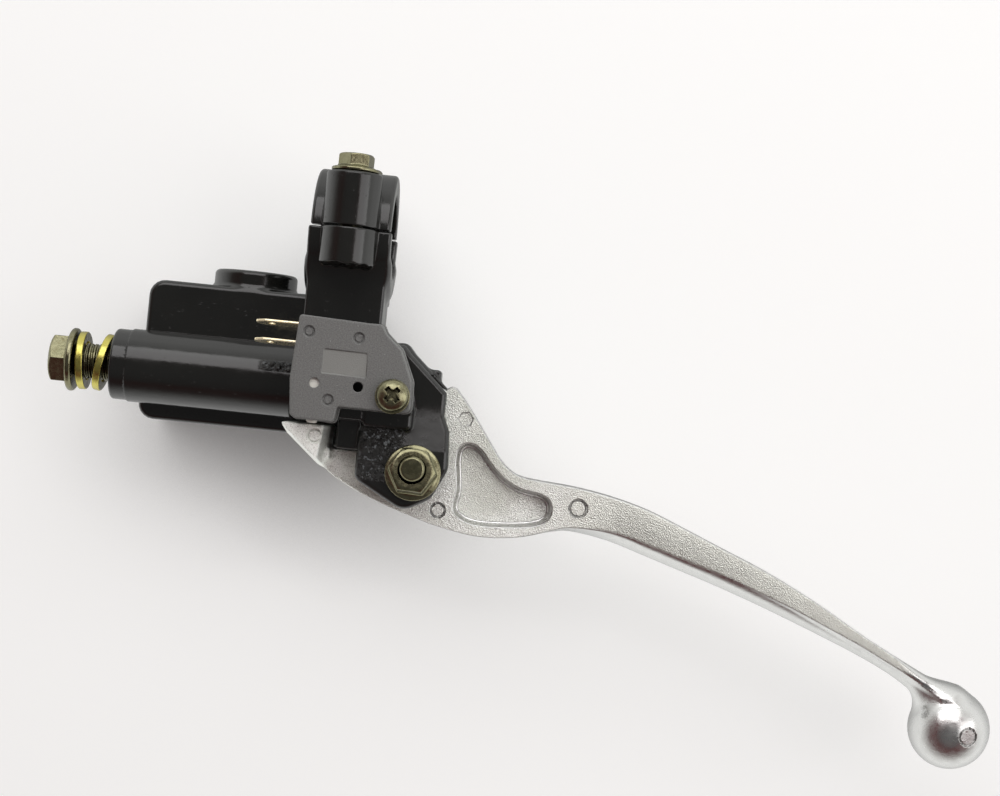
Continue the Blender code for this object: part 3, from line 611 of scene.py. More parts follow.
def brake_lever(p):
    x, y, z = p
    lever = either(blade_plate(p), tab(p), 1.2)
    root = brick(p, (-3, LUG_Y + 0.3, -9), (0.1, 60.6, 3.5), 0.8)
    lever = either(lever, root, 1.5)
    lever = either(lever, sphere(p, (*BALL, 0), BALL_R), 5)
    walls = outline_distance(x, y, POCKET) + 0.22 * (z + HEAD_HALF)
    lever = without(lever, both(walls, z + HEAD_HALF - 2.8, 0.9), 0.5)
    marks = (
        pin_mark(p, (29.6, 71), -HEAD_HALF, 2.1),
        pin_mark(p, (66.5, 66.8), -BLADE_HALF + 0.15, 2.5),
        pin_mark(p, (-3.9, 54.4), TAB_NEAR, 1.9),
        both(hexagon(x - 34.6, y - 46.3, 3.6, 0.4), z + HEAD_HALF - 0.35, 0.1),
        ball_mark(p),
    )
    for mark in marks:
        lever = without(lever, mark, 0.08)
    return without(lever, rod(p, 2, PIVOT, PIVOT_R, -20, 20), 0.3)


# ---------------- fasteners
# Each is modelled about its own Z axis, which points out through its head, and then placed.


UP = (0, 0, 1)
TO_RIDER = (0, -1, 0)
OUTBOARD = (1, 0, 0)


def placed(origin, outward, across=OUTBOARD):
    """Matrix of a local frame with Z along outward and X along across."""
    z, x = Vector(outward).normalized(), Vector(across).normalized()
    turn = Matrix((x, z.cross(x), z)).transposed().to_4x4()
    turn.translation = Vector(origin)
    return turn


def tipped(origin, lean):
    """A frame that points down towards -Z, its tip leaning towards -Y by an angle."""
    return placed(origin, (0, -math.sin(lean), -math.cos(lean)))


def hex_head(p, flats, low, high, angle, flat_r):
    """Hexagonal prism whose top corners are turned off by a cone that starts at flat_r."""
    x, y, z = p
    prism = both(hexagon(x, y, flats, angle), slab(z, low, high), 0.18)
    cone = (np.hypot(x, y) - flat_r) * 0.5 + (z - high) * 0.866
    return both(prism, cone, 0.25)


def thread(p, radius, pitch, depth, low, high):
    """A right-hand thread between two heights, with rounded crests."""
    x, y, z = p
    phase = z / pitch - np.arctan2(y, x) / (2 * np.pi)
    groove = depth * (0.5 + 0.5 * np.cos(2 * np.pi * phase)) ** 1.3
    return both(np.hypot(x, y) - radius + groove, slab(z, low, high), 0.3) * 0.6


def skirt(p, foot, slope, radius, top, tight):
    """The cone between a flange and its hexagon. tight keeps the steep field true to distance."""
    r = from_axis(p)
    return both(both(r + slope * p[2] - foot, r - radius), slab(p[2], 0, top), 0.1) * tight


def clamp_bolt(p):
    shank = disc(p, THREAD_R, -23, 1, 0.3)
    flange = either(disc(p, 6.15, 0, 0.85, 0.35), skirt(p, 7.6, 2.2, 5.9, 1.6, 0.41), 0.3)
    head = hex_head(p, 8.2, 0.5, 4.6, math.radians(-13.5), 4)
    return either(shank, either(flange, head, 0.25), 0.3)


def hose_bolt(p):
    flange = disc(p, 8.4, 0, 1.75, 0.75)
    head = hex_head(p, 12, 0.5, HOSE_HEAD, 0, 5.3)
    neck = disc(p, 4.1, -17.5, 1, 0.3)
    bolt = either(either(flange, head, 0.5), neck, 0.5)
    bolt = np.minimum(bolt, thread(p, 4.85, 1.25, 0.4, -18.2, -2.6))
    bolt = without(bolt, disc(p, 1.8, -30, -3.1), 0.4)
    return without(bolt, rod(p, 0, (0, -4.3), 1.2, -9, 9), 0.2)


def washer(p):
    return without(disc(p, 7.7, -1, 1, 0.4), from_axis(p) - 5.15, 0.3)


def screw_washer(p):
    return without(disc(p, 4.5, 0, 0.8, 0.3), from_axis(p) - 2.3, 0.2)


def pivot_nut(p):
    """Flange nut: Z is up through its open end."""
    r = from_axis(p)
    flange = either(disc(p, 7.35, 0, 1, 0.4), skirt(p, 8.6, 1.8, 7, 2.2, 0.48), 0.3)
    head = hex_head(p, 11, 0.5, 7.6, math.radians(28), 5.15)
    nut = either(flange, head, 0.5)
    nut = without(nut, r - 3.4, 0.15)
    return without(nut, both(r - 3.6, 6.5 - p[2], 0.1), 0.15)


def pivot_bolt(p):
    """Shouldered bolt: Z points up out of its slotted head."""
    r = from_axis(p)
    head = disc(p, 6.6, 0, 3.6, 0.35)
    head = both(head, np.sqrt(r**2 + (p[2] + 9) ** 2) - 12.7, 0.3)
    head = without(head, brick(p, (-9, -0.7, 2.2), (9, 0.7, 9), 0.1), 0.15)
    shoulder = disc(p, 4, -21.6, 1, 0.2)
    end = disc(p, 3.25, -32.4, -20, 0.2)
    end = both(end, (r - 2.75) * 0.707 - (p[2] + 32.4) * 0.707, 0.15)
    return either(head, np.minimum(shoulder, end), 0.25)


def cross_recess(p, top, depth, reach):
    """Cross-head recess that narrows with depth, with rounded lobes between its arms."""
    x, y, z = p
    narrow = 0.3 * (top - z)
    arms = []
    for a, b in ((x, y), (y, x)):
        arms.append(both(np.abs(a) - reach + narrow, np.abs(b) - 0.72 + narrow * 0.25, 0.12))
    return both(either(arms[0], arms[1], 0.55), top - depth - z, 0.2) * 0.95


def switch_screw(p):
    """Pan-head screw: its head's seat is at height 0."""
    x, y, z = p
    r = np.hypot(x, y)
    dome = np.sqrt(r**2 + (z + 3.6) ** 2) - 6.15
    head = both(disc(p, 4.1, 0, 2.55, 0.45), dome, 0.4)
    spin = ((x + y) * 0.7071, (y - x) * 0.7071, z)
    head = without(head, cross_recess(spin, 2.55, 3, 2.45), 0.12)
    return either(head, disc(p, 1.9, -13, 1, 0.3), 0.2)


def cover_screw(p):
    """Countersunk screw: its head's face is at height 0."""
    r = from_axis(p)
    head = both(both(r - 3.75, p[2], 0.12), (r - 3.75) * 0.707 - (p[2] + 0.35) * 0.707, 0.1)
    head = without(head, cross_recess(p, 0, 1.6, 2), 0.1)
    return either(head, disc(p, 1.9, -14.9, -0.5, 0.3), 0.2)


# ---------------- switch

SWITCH_EDGE = rounded(
    [(-10.3, 23.5, 0.9), (11.2, 24.2, 0.9), (12.2, 26.2), (16.6, 30.2, 2), (20, 38, 2.5)]
    + [(20.3, 46.2, 1.6), (1.6, 46.2, 0.7), (1, 50.3, 0.9), (-9, 50.3, 0.8)]
    + [(-10.4, 49.4, 0.8), (-11.3, 40, 6)]
)
SWITCH_WELL = [(-9.1, 24.7), (6, 24.9), (8.6, 36), (8.6, 44.9), (0.2, 44.9)]
SWITCH_WELL += [(-0.3, 49), (-9.1, 49)]
LABEL = ((-3.2, 31.7), (8, 31.9), (8.3, 38.2), (-3.4, 38))
PEEP_HOLES = ((-4.9, 40.7), (6.4, 40.7))
PIN_MARKS = ((-7.5, 27.7), (5.4, 28.2), (-1, 44.8))
BLADES = (31.1, 26.3)
BLADE_TILT = math.radians(12)
SPADE_Z = -15.9


def switch_cover(p):
    x, y = p[:2]
    cover = plate(p, SWITCH_EDGE, SWITCH_NEAR, SWITCH_SPLIT, 0.4)
    cuts = [plate(p, SWITCH_WELL, SWITCH_NEAR + 0.8, -10)]
    cuts.append(plate(p, rounded([(*q, 0.5) for q in LABEL]), -22, SWITCH_NEAR + 0.3, 0.1))
    cuts += [rod(p, 2, hole, 1.3, -22, -17) for hole in PEEP_HOLES]
    cuts.append(rod(p, 2, SWITCH_SCREW, 2.4, -25, -10))
    cuts.append(brick(p, (PLUNGER[0] - 1.9, 47.5, -17.8), (PLUNGER[0] + 1.9, 52, -10)))
    cuts += [brick(p, (-13, b - 1.3, -18.3), (-8, b + 1.3, -10)) for b in BLADES]
    for mark in PIN_MARKS:
        dish = rod(p, 2, mark, 1.5, -22, SWITCH_NEAR + 0.3, 0.1)
        moat = rod(p, 2, mark, 1.5, -22, SWITCH_NEAR + 0.55, 0.1)
        cuts.append(np.minimum(dish, np.maximum(moat, 0.95 - np.hypot(x - mark[0], y - mark[1]))))
    for part in cuts:
        cover = without(cover, part, 0.15)
    return cover


def switch_base(p):
    base = plate(p, grown(SWITCH_EDGE, -0.45), SWITCH_SPLIT + 0.3, STEM_NEAR - 0.3, 0.3)
    rib = brick(p, (-7, 27.5, -17.8), (-2.8, 28.1, -13), 0.1)
    hole = np.hypot(p[0] - SWITCH_SCREW[0], p[1] - SWITCH_SCREW[1]) - 2.4
    return without(np.minimum(base, rib), hole)


def spade(row, root_x, contact):
    """A spade terminal: tilted blade with a pointed tip and a hole, and the strip inside."""

    def field(p):
        x, y, z = p
        c, s = math.cos(BLADE_TILT), math.sin(BLADE_TILT)
        v = (y - row) * c - (z - SPADE_Z) * s
        w = (y - row) * s + (z - SPADE_Z) * c
        taper = 0.55 * np.clip(-19.3 - x, 0, 3)
        blade = both(slab(x, -21.7, root_x + 0.6), np.abs(w) - 2.25 + taper, 0.4)
        blade = both(blade, np.abs(v) - 0.32, 0.12)
        blade = without(blade, np.hypot(x + 17.6, w) - 0.95, 0.1)
        strip = brick(p, (root_x, row - 0.3, -17.5), (root_x + 0.6, 36.9, -14.3), 0.1)
        near, far = sorted((root_x, contact))
        tongue = brick(p, (near, 36.3, -17.5), (far, 36.9, -14.3), 0.1)
        return np.minimum(blade, np.minimum(strip, tongue))

    return field


def plunger(p):
    """Switch plunger: a slide in the shell, a stem out of its end, and a pip near a peep hole."""
    px, pz = float(PLUNGER[0]), float(PLUNGER[2])
    low, high = box_mm("switch_plunger")
    block = brick(p, tuple(low), (high[0], 45.2, high[2]), 0.3)
    stem = rod(p, 1, (px, pz), 1.45, 44, high[1], 0.6)
    pip = brick(p, (px - 1.5, 38, -19.1), (px + 1.5, 43.6, pz), 0.3)
    return either(either(block, stem, 0.2), pip, 0.2)


# ---------------- reservoir top and sight glass


def reservoir_cover(p):
    """Cover with a raised rim, a shallow panel, and seats for the two screws."""
    x, y, z = p
    low, high = float(TANK_LO[2]), float(TANK_HI[2])
    flat = outline_distance(x, y, TANK_RIM)
    cover = both(flat, slab(z, low, high), 1)
    cover = without(cover, both(flat + 4.2, high - 0.55 - z, 0.3), 0.35)
    cover = without(cover, both(flat + 2.2, z - 34.1, 0.3), 0.3)
    for screw in COVER_SCREWS:
        r = np.hypot(x - screw[0], y - screw[1])
        boss = both(r - 5.6, slab(z, 33, high), 0.5)
        cover = either(cover, boss, 0.4)
        cover = without(cover, np.maximum((r - 4.3) * 0.707 + (high - z) * 0.707, r - 6), 0.2)
        cover = without(cover, r - 2.3)
    return np.maximum(cover, z - high)


def glass_lens(p):
    """Domed lens: Z points out of the reservoir."""
    r = from_axis(p)
    dome = np.sqrt(r**2 + (p[2] + 21) ** 2) - 23.65
    return both(disc(p, 8.2, 0, 2.6, 0.2), dome, 0.2)


def glass_ring(p):
    r = from_axis(p)
    return without(disc(p, 8.35, 2.5, 3.75, 0.25), r - 6.6 - 0.5 * (p[2] - 2.5), 0.2)


# ---------------- turned and coiled pieces


def turned(name, profile, sides=72):
    """Turn a closed profile of (x, radius) points about the bore's axis."""
    count = len(profile)
    points, faces = [], []
    for k in range(sides):
        a = 2 * math.pi * k / sides
        for x, r in profile:
            points.append((x * MM, (BORE_Y + r * math.cos(a)) * MM, r * math.sin(a) * MM))
    for k in range(sides):
        for i in range(count):
            j, n = (i + 1) % count, (k + 1) % sides
            faces.append((k * count + i, n * count + i, n * count + j, k * count + j))
    obj = mesh_object(name, points, faces)
    obj.data.shade_smooth()
    obj.data.set_sharp_from_angle(angle=math.radians(50))
    return obj


def bellows(name):
    """Dust boot: two soft folds, its bead in the bore's mouth and its lip on the piston rod."""
    outer = [(5.6, 7.15), (8.4, 7.2), (9.8, 6.9), (10.8, 5.5), (11.8, 6.6), (12.6, 5.3), (13.2, 5)]
    inner = [(13.9, 4.45), (13, 4.5), (12.4, 4.75), (11.7, 5.7), (10.8, 4.8), (9.4, 6.2), (8, 6.4)]
    outer, inner = smooth_line([*outer, (13.9, 4.95)], 5), smooth_line([*inner, (5.6, 6.2)], 5)
    return turned(name, [*outer, *inner])


def coil(name, start, end, radius, wire, turns, sides=32):
    """A compression spring in the bore, with closed end turns."""
    data = bpy.data.curves.new(name, "CURVE")
    data.dimensions = "3D"
    data.bevel_depth = wire * MM
    data.bevel_resolution = 4
    data.use_fill_caps = True
    line = data.splines.new("POLY")
    count = turns * sides
    closed = float(ramp(0, -0.25, 1.25))  # how much closer the end turns lie
    line.points.add(count)
    for i, point in enumerate(line.points):
        angle = 2 * math.pi * i / sides
        along = (float(ramp(i / count, -0.25, 1.25)) - closed) / (1 - 2 * closed)
        x = start + (end - start) * along
        y, z = BORE_Y + radius * math.cos(angle), radius * math.sin(angle)
        point.co = (x * MM, y * MM, z * MM, 1)
    guide = put(name + "_line", data)
    mesh = as_evaluated(guide)
    bpy.data.objects.remove(guide)
    mesh.shade_smooth()
    return put(name, mesh)


# ---------------- materials


class Nodes:
    """A node tree, with short calls that make and link its nodes."""

    def __init__(self, tree):
        self.nodes, self.link = tree.nodes, tree.links.new

    def fill(self, node, inputs):
        """Give a node's inputs their values, or link them to other nodes' outputs."""
        for socket, value in inputs.items():
            if isinstance(value, bpy.types.NodeSocket):
                self.link(value, node.inputs[socket])
            else:
                node.inputs[socket].default_value = value

    def node(self, kind, inputs, output=0):
        """A new node's output."""
        node = self.nodes.new("ShaderNode" + kind)
        self.fill(node, inputs)
        return node.outputs[output]


class Paint(Nodes):
    """A material, with short calls for what the finishes share."""

    def __init__(self, name, colour, roughness, metallic=0, **sockets):
        self.material = bpy.data.materials.new(name)
        self.material.use_nodes = True
        super().__init__(self.material.node_tree)
        self.shader = self.nodes["Principled BSDF"]
        basics = {"Base Color": (*colour, 1), "Roughness": roughness, "Metallic": metallic}
        extras = {socket.replace("_", " "): value for socket, value in sockets.items()}
        self.fill(self.shader, {**basics, **extras})
        where = self.nodes.new("ShaderNodeTexCoord")
        self.place, self.normal = where.outputs["Object"], where.outputs["Normal"]

    def feed(self, output, socket):
        self.link(output, self.shader.inputs[socket])

    def stretched(self, scale):
        return self.node("Mapping", {"Scale": scale, "Vector": self.place})

    def noise(self, scale, detail=3, rough=0.5, vector=None):
        """Noise from 0 to 1, with about scale features in each metre."""
        inputs = {"Scale": scale, "Detail": detail, "Roughness": rough}
        return self.node("TexNoise", {**inputs, "Vector": vector or self.place}, "Fac")

    def cells(self, scale):
        return self.node("TexVoronoi", {"Scale": scale, "Vector": self.place}, "Distance")

    def span(self, value, low, high, to_low=0, to_high=1):
        """Map low..high smoothly onto another range."""
        ends = {"From Min": low, "From Max": high, "To Min": to_low, "To Max": to_high}
        result = self.node("MapRange", {"Value": value, **ends}, "Result")
        result.node.interpolation_type = "SMOOTHSTEP"
        return result

    def maths(self, operation, a, b):
        value = self.node("Math", {0: a, 1: b})
        value.node.operation = operation
        return value

    def axis(self, name, vector=None):
        return self.node("SeparateXYZ", {"Vector": vector or self.place}, name)

    def between(self, name, low, high, soft=0.0005):
        """1 where one coordinate, in millimetres, lies between two values."""
        place = self.axis(name)
        rise = self.span(place, low * MM - soft, low * MM + soft)
        fall = self.span(place, high * MM - soft, high * MM + soft, 1, 0)
        return self.maths("MULTIPLY", rise, fall)

    def product(self, *values):
        total = values[0]
        for value in values[1:]:
            total = self.maths("MULTIPLY", total, value)
        return total

    def zone(self, **ranges):
        """1 inside a box. A range is (low, high) or (low, high, soft)."""
        return self.product(*(self.between(axis, *ends) for axis, ends in ranges.items()))

    def tint(self, fac, colour_a, colour_b):
        """A colour that runs from a to b. Either may be another node's output."""
        ends = [(*c, 1) if isinstance(c, tuple) else c for c in (colour_a, colour_b)]
        node = self.nodes.new("ShaderNodeMix")
        node.data_type = "RGBA"
        self.fill(node, {0: fac, 6: ends[0], 7: ends[1]})
        return node.outputs[2]

    def feed_roughness(self, scale, low, high, detail=3, rough=0.5):
        """Mottled roughness between two values."""
        mottle = self.noise(scale, detail, rough)
        self.feed(self.span(mottle, 0.3, 0.7, low, high), "Roughness")

    def bump(self, height, distance, strength=1, under=None):
        """A bump of so many metres, on top of another bump."""
        inputs = {"Distance": distance, "Strength": strength, "Height": height}
        return self.node("Bump", {**inputs, "Normal": under} if under else inputs, "Normal")


def black_paint():
    """Gloss enamel over a casting: orange peel, a duller ear face and two rough cast patches, with painted
    highlights as pale specks in the patches.
    """
    m = Paint("gloss_black_enamel", (0.006, 0.006, 0.0065), 0.12)
    ear_face = m.zone(X=(7.5, 30), Y=(44, 70), Z=(-11.6, -8.9))
    patch = m.product(m.zone(X=(8.3, 18.5, 0.0015), Y=(50.5, 64, 0.0015)), ear_face)
    pit = m.zone(X=(-20, -11.4, 0.0015), Y=(36.4, 38.4), Z=(-14, -7))
    dull = m.product(ear_face, m.maths("SUBTRACT", 0.13, m.product(patch, 0.13)))
    gloss = m.span(m.noise(220), 0.35, 0.7, 0.14, 0.21)
    gloss = m.maths("SUBTRACT", gloss, m.product(patch, 0.07))
    m.feed(m.maths("ADD", gloss, dull), "Roughness")
    patch = m.maths("ADD", patch, pit)
    tone = m.tint(m.noise(60), (0.0075, 0.0077, 0.0072), (0.0125, 0.0128, 0.0112))
    # Painted highlights: pale bluish specks in the rough patches stand in for glints on the blisters.
    painted_glint_specks = m.product(m.span(m.noise(950, 3, 0.6), 0.54, 0.66), patch)
    m.feed(m.tint(painted_glint_specks, tone, (0.16, 0.175, 0.185)), "Base Color")
    peel = m.bump(m.noise(420, 2), 0.00005, 0.8)
    pits = m.product(m.span(m.noise(1500, 4, 0.6), 0.35, 0.65), patch)
    blisters = m.product(m.span(m.cells(430), 0.15, 0.6, 1, 0), patch)
    rough = m.bump(blisters, 0.0005, 1, m.bump(pits, 0.0003, 1, peel))
    flaws = m.bump(m.span(m.noise(900, 2), 0.70, 0.76), 0.00006, 0.8, rough)
    m.feed(flaws, "Normal")
    return m.material


def cast_alloy():
    """Blasted faces that glitter, with the edges, sides and ball polished."""
    m = Paint("cast_aluminium", (0.72, 0.72, 0.71), 0.3, 1)
    upright = m.maths("ABSOLUTE", m.axis("Z", m.normal), 0)
    head = m.between("X", -30, 9, 0.003)
    blasted = m.maths("MAXIMUM", m.span(upright, 0.90, 0.975), head)
    face = m.product(blasted, m.between("X", -30, 158, 0.004))
    grain = m.noise(3200, 3, 0.65)
    glitter = m.cells(3600)
    # Painted light: the head is coloured lighter than the blade, standing in for the brighter light its faces
    # catch.
    painted_head_light = m.tint(m.span(m.axis("X"), 0.045, 0.085), (0.985, 1, 0.96), (0.68, 0.69, 0.64))
    tone = m.tint(m.span(m.noise(60, 3), 0.35, 0.65), (0.765, 0.78, 0.72), painted_head_light)
    speck = m.tint(m.span(grain, 0.30, 0.52), (0.54, 0.545, 0.50), tone)
    m.feed(m.tint(face, (0.57, 0.57, 0.56), speck), "Base Color")
    worn = m.span(m.axis("X"), 0.050, 0.080, 0, -0.02)
    rough_face = m.maths("ADD", m.span(grain, 0.3, 0.7, 0.31, 0.46), worn)
    rough_side = m.span(m.noise(500, 3), 0.3, 0.7, 0.23, 0.34)
    side = m.maths("SUBTRACT", 1, face)
    mixed = m.maths("ADD", m.product(face, rough_face), m.product(side, rough_side))
    m.feed(mixed, "Roughness")
    drawn = m.bump(m.noise(1100, 3, 0.6, m.stretched((0.4, 1, 1))), 0.00007, 0.8)
    coarse = m.span(m.axis("X"), 0.055, 0.080, 1, 0.4)
    sand = m.bump(m.product(face, coarse, m.maths("ADD", grain, glitter)), 0.00022, 0.9, drawn)
    m.feed(sand, "Normal")
    return m.material


def yellow_zinc():
    """Olive passivated zinc plate, patchy in hue, with painted shade darkening it in the hollows."""
    m = Paint("olive_zinc_plate", (0.24, 0.23, 0.14), 0.35, 1)
    hue = m.tint(m.noise(260, 3), (0.145, 0.14, 0.08), (0.265, 0.252, 0.16))
    stain = m.tint(m.span(m.noise(900, 4, 0.7), 0.5, 0.75), hue, (0.13, 0.115, 0.06))
    # Painted shade: ambient occlusion darkens the colour in recesses and crevices, where shade falls.
    hollow = m.node("AmbientOcclusion", {"Distance": 0.003}, "AO")
    hollow.node.samples = 6
    painted_shade_mask = m.span(hollow, 0.30, 0.70)
    m.feed(m.tint(painted_shade_mask, (0.030, 0.027, 0.018), stain), "Base Color")
    m.feed_roughness(700, 0.17, 0.33, 4, 0.6)
    m.feed(m.bump(m.noise(1400, 3), 0.00006, 0.7), "Normal")
    return m.material


def gold_washer():
    """Gold-anodised soft alloy, with fine turning lines on its rim, and its flat faces coloured dark grey as
    painted shade.
    """
    m = Paint("gold_anodise", (0.50, 0.45, 0.10), 0.3, 1)
    rim = m.tint(m.noise(400, 3), (0.40, 0.345, 0.06), (0.60, 0.55, 0.17))
    # Painted shade: the flat faces, picked out by their normal along X, are coloured dark grey.
    side = m.maths("ABSOLUTE", m.axis("X", m.normal), 0)
    m.feed(m.tint(m.span(side, 0.75, 0.95), rim, (0.20, 0.19, 0.14)), "Base Color")
    m.feed_roughness(900, 0.22, 0.38)
    lines = m.noise(1200, 2, 0.5, m.stretched((3, 0.4, 0.4)))
    m.feed(m.bump(lines, 0.00005, 0.7), "Normal")
    return m.material


def bright_metal(name, dark, light, low, high):
    """Plain drawn, turned or stamped metal."""
    scale = 900
    m = Paint(name, light, low, 1)
    m.feed(m.tint(m.noise(scale / 3, 3), dark, light), "Base Color")
    m.feed_roughness(scale, low, high, 3, 0.6)
    drawn = m.noise(scale * 1.5, 2, 0.5, m.stretched((0.3, 1, 1)))
    m.feed(m.bump(drawn, 0.00003, 0.7), "Normal")
    return m.material


def grey_plastic():
    """Spark-eroded moulding; the blank label recess is paler and smoother."""
    m = Paint("grey_moulding", (0.15, 0.15, 0.15), 0.55, Specular_IOR_Level=0.5)
    recess = m.zone(X=(-3.3, 8.1, 0.0002), Y=(31.8, 38.1, 0.0002), Z=(-20.1, -19.5, 0.0001))
    grain = m.noise(3000, 3, 0.6)
    fine = m.tint(m.span(grain, 0.3, 0.7), (0.108, 0.110, 0.106), (0.182, 0.184, 0.178))
    dust = m.tint(m.span(m.noise(1500, 2), 0.72, 0.76), fine, (0.30, 0.30, 0.29))
    m.feed(m.tint(recess, dust, (0.215, 0.218, 0.206)), "Base Color")
    m.feed(m.span(grain, 0.3, 0.7, 0.48, 0.66), "Roughness")
    m.feed(m.bump(grain, 0.00012, 0.6), "Normal")
    return m.material


def moulded(name, dark, light, low, high, scale, depth):
    """Rubber, nylon and smooth plastic: soft mottling and a fine skin."""
    m = Paint(name, light, low)
    m.feed(m.tint(m.noise(scale / 4, 2), dark, light), "Base Color")
    m.feed_roughness(scale, low, high)
    m.feed(m.bump(m.noise(scale * 2, 3, 0.6), depth, 0.7), "Normal")
    return m.material


def clear_lens():
    """Slightly smoky acrylic with faint moulding ripples."""
    m = Paint("smoky_acrylic", (0.78, 0.82, 0.80), 0.05, Transmission_Weight=0.85, IOR=1.49)
    m.feed(m.tint(m.noise(90, 2), (0.70, 0.74, 0.72), (0.86, 0.89, 0.87)), "Base Color")
    m.feed_roughness(300, 0.03, 0.09, 2)
    m.feed(m.bump(m.noise(150, 1), 0.00005, 0.5), "Normal")
    return m.material


FINISH = {
    "black_paint": black_paint(),
    "cast_alloy": cast_alloy(),
    "yellow_zinc": yellow_zinc(),
    "gold_washer": gold_washer(),
    "brass": bright_metal("stamped_brass", (0.80, 0.68, 0.42), (0.95, 0.87, 0.66), 0.22, 0.34),
    "spring_steel": bright_metal("spring_steel", (0.36, 0.36, 0.37), (0.52, 0.52, 0.53), 0.25, 0.4),
    "anodised_alloy": bright_metal(
        "anodised_alloy", (0.50, 0.50, 0.51), (0.62, 0.62, 0.63), 0.25, 0.38
    ),
    "black_rubber": moulded("black_rubber", (0.014,) * 3, (0.026,) * 3, 0.60, 0.80, 900, 0.00008),
    "grey_plastic": grey_plastic(),
    "black_plastic": moulded("black_plastic", (0.012,) * 3, (0.022,) * 3, 0.28, 0.42, 700, 0.00004),
    "nylon": moulded("nylon", (0.70, 0.69, 0.62), (0.82, 0.81, 0.76), 0.38, 0.52, 600, 0.00004),
    "clear_lens": clear_lens(),
}

# ---------------- assembling

SLOT_OF = {row["node"]: row["material_slot"] for row in frame["record"]["subparts"]}


def add(obj, node, body="root"):
    """Put a finished piece on its body in place of its CAD node."""
    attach(obj, body)
    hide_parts(node)
    obj.data.materials.clear()
    obj.data.materials.append(FINISH[SLOT_OF[node]])
    return obj


def cast(name, field, node, step, ratio, body="root"):
    """A piece whose field is in the model's own frame, as large as its CAD node."""
    return add(skin(name, field, *box_mm(node), step, ratio), node, body)


def fitted(name, field, node, reach, low, high, turn, step, ratio=0.5):
    """A piece modelled about its own axis, within a reach of it and between two heights."""
    made = skin(name, field, (-reach, -reach, low), (reach, reach, high), step, ratio, turn)
    add(made, node)


def assemble():
    cast("casting", cylinder_body, "cylinder_body", 0.42, 0.4)
    cast("clamp_upper_half", clamp_cap, "clamp_cap", 0.38, 0.5)
    cast("cast_lever", brake_lever, "brake_lever", 0.33, 0.5, "lever")
    cast("switch_shell", switch_cover, "switch_cover", 0.25, 0.5)
    cast("switch_floor", switch_base, "switch_base", 0.35, 0.4)
    low, high = box_mm("switch_plunger")
    low[2] = SWITCH_NEAR + 0.8  # the pip reaches nearer than the slide
    slide = skin("plunger_slide_block", plunger, low, high, 0.2, 0.5)
    add(slide, "switch_plunger", "plunger")
    cast("cover_plate", reservoir_cover, "reservoir_cover", 0.36, 0.4)
    cast("spade_front", spade(BLADES[0], -8.6, -6.9), "switch_terminal_front", 0.17, 0.6)
    cast("spade_rear", spade(BLADES[1], 0, -2.9), "switch_terminal_rear", 0.17, 0.6)

    for name, z in (("lower", LOWER_BOLT_Z), ("upper", -LOWER_BOLT_Z)):
        turn = placed((0, SEAT_Y - SEAT_GAP, z), TO_RIDER)
        node = f"clamp_bolt_{name}"
        fitted(f"clamp_screw_{name}", clamp_bolt, node, 6.2, -23.1, 4.7, turn, 0.22)

    seat_x = box_mm("hose_bolt")[0][0] + HOSE_HEAD
    turn = placed((seat_x, BORE_Y, 0), (-1, 0, 0), (0, 1, 0))
    fitted("banjo_bolt", hose_bolt, "hose_bolt", 8.5, -18.4, 6.8, turn, 0.2)
    for name, (x, tilt) in LOOSE_WASHERS.items():
        lean = math.radians(tilt)
        turn = placed((x, BORE_Y, 0), (-math.cos(lean), -math.sin(lean), 0), UP)
        node = f"crush_washer_{name}"
        fitted(f"sealing_washer_{name}", washer, node, 7.8, -1.1, 1.1, turn, 0.2)

    px, py = PIVOT
    turn = placed((px, py, EAR_OUT + SEAT_GAP), UP)
    fitted("lever_bolt", pivot_bolt, "pivot_bolt", 6.7, -32.5, 3.8, turn, 0.22)
    turn = tipped((px - 0.1, py + 1.4, -EAR_OUT - 0.15), NUT_LEAN)
    fitted("flange_nut", pivot_nut, "pivot_nut", 7.5, -0.1, 7.7, turn, 0.2)

    sx, sy = SWITCH_SCREW
    face = SWITCH_NEAR - SEAT_GAP
    turn = tipped((sx, sy, face), 0)
    fitted("screw_washer", screw_washer, "switch_washer", 4.6, -0.1, 0.9, turn, 0.2)
    turn = tipped((sx, sy - 0.25, face - 0.95), SCREW_LEAN)
    fitted("cross_head_screw", switch_screw, "switch_screw", 4.2, -13.1, 2.7, turn, 0.17, 0.6)
    for i, screw in enumerate(COVER_SCREWS, 1):
        turn = placed((*screw, TANK_HI[2] - 0.4), UP)
        fitted(f"lid_screw_{i}", cover_screw, f"cover_screw_{i}", 3.9, -15, 0.2, turn, 0.2)

    turn = placed((GLASS[0], WINDOW_Y, GLASS[2]), TO_RIDER)
    fitted("level_window", glass_lens, "sight_glass", 8.3, -0.1, 2.8, turn, 0.3)
    fitted("level_window_ring", glass_ring, "sight_glass_ring", 8.5, 2.3, 3.9, turn, 0.22)

    boot = add(bellows("bellows_boot"), "dust_boot")
    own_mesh(boot)
    spring_low, spring_high = box_mm("return_spring")
    ends = (spring_low[0] + SPRING_WIRE_R, spring_high[0] - SPRING_WIRE_R)
    spring = add(coil("bore_spring", *ends, SPRING_R, SPRING_WIRE_R, SPRING_TURNS), "return_spring")
    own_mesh(spring)


def dress_cad_nodes():
    """The hidden nodes that stay as they are get their finishes."""
    for node, obj in frame["nodes"].items():
        if not obj.hide_render:
            obj.data.materials.clear()
            obj.data.materials.append(FINISH[SLOT_OF[node]])


# ---------------- stage, light and camera


TABLE_GLOW = 0.55  # share of the table's brightness that real shadows leave alone; a painted contact shadow darkens it beside the object
TABLE_GAP = 0.0004
TABLE_COLOUR = (0.46, 0.46, 0.454)
CAMERA_PLACE = (0.043, 0.0398, -0.527)
CAMERA_ROLL = math.radians(5.8)
CAMERA_LENS = 71.1


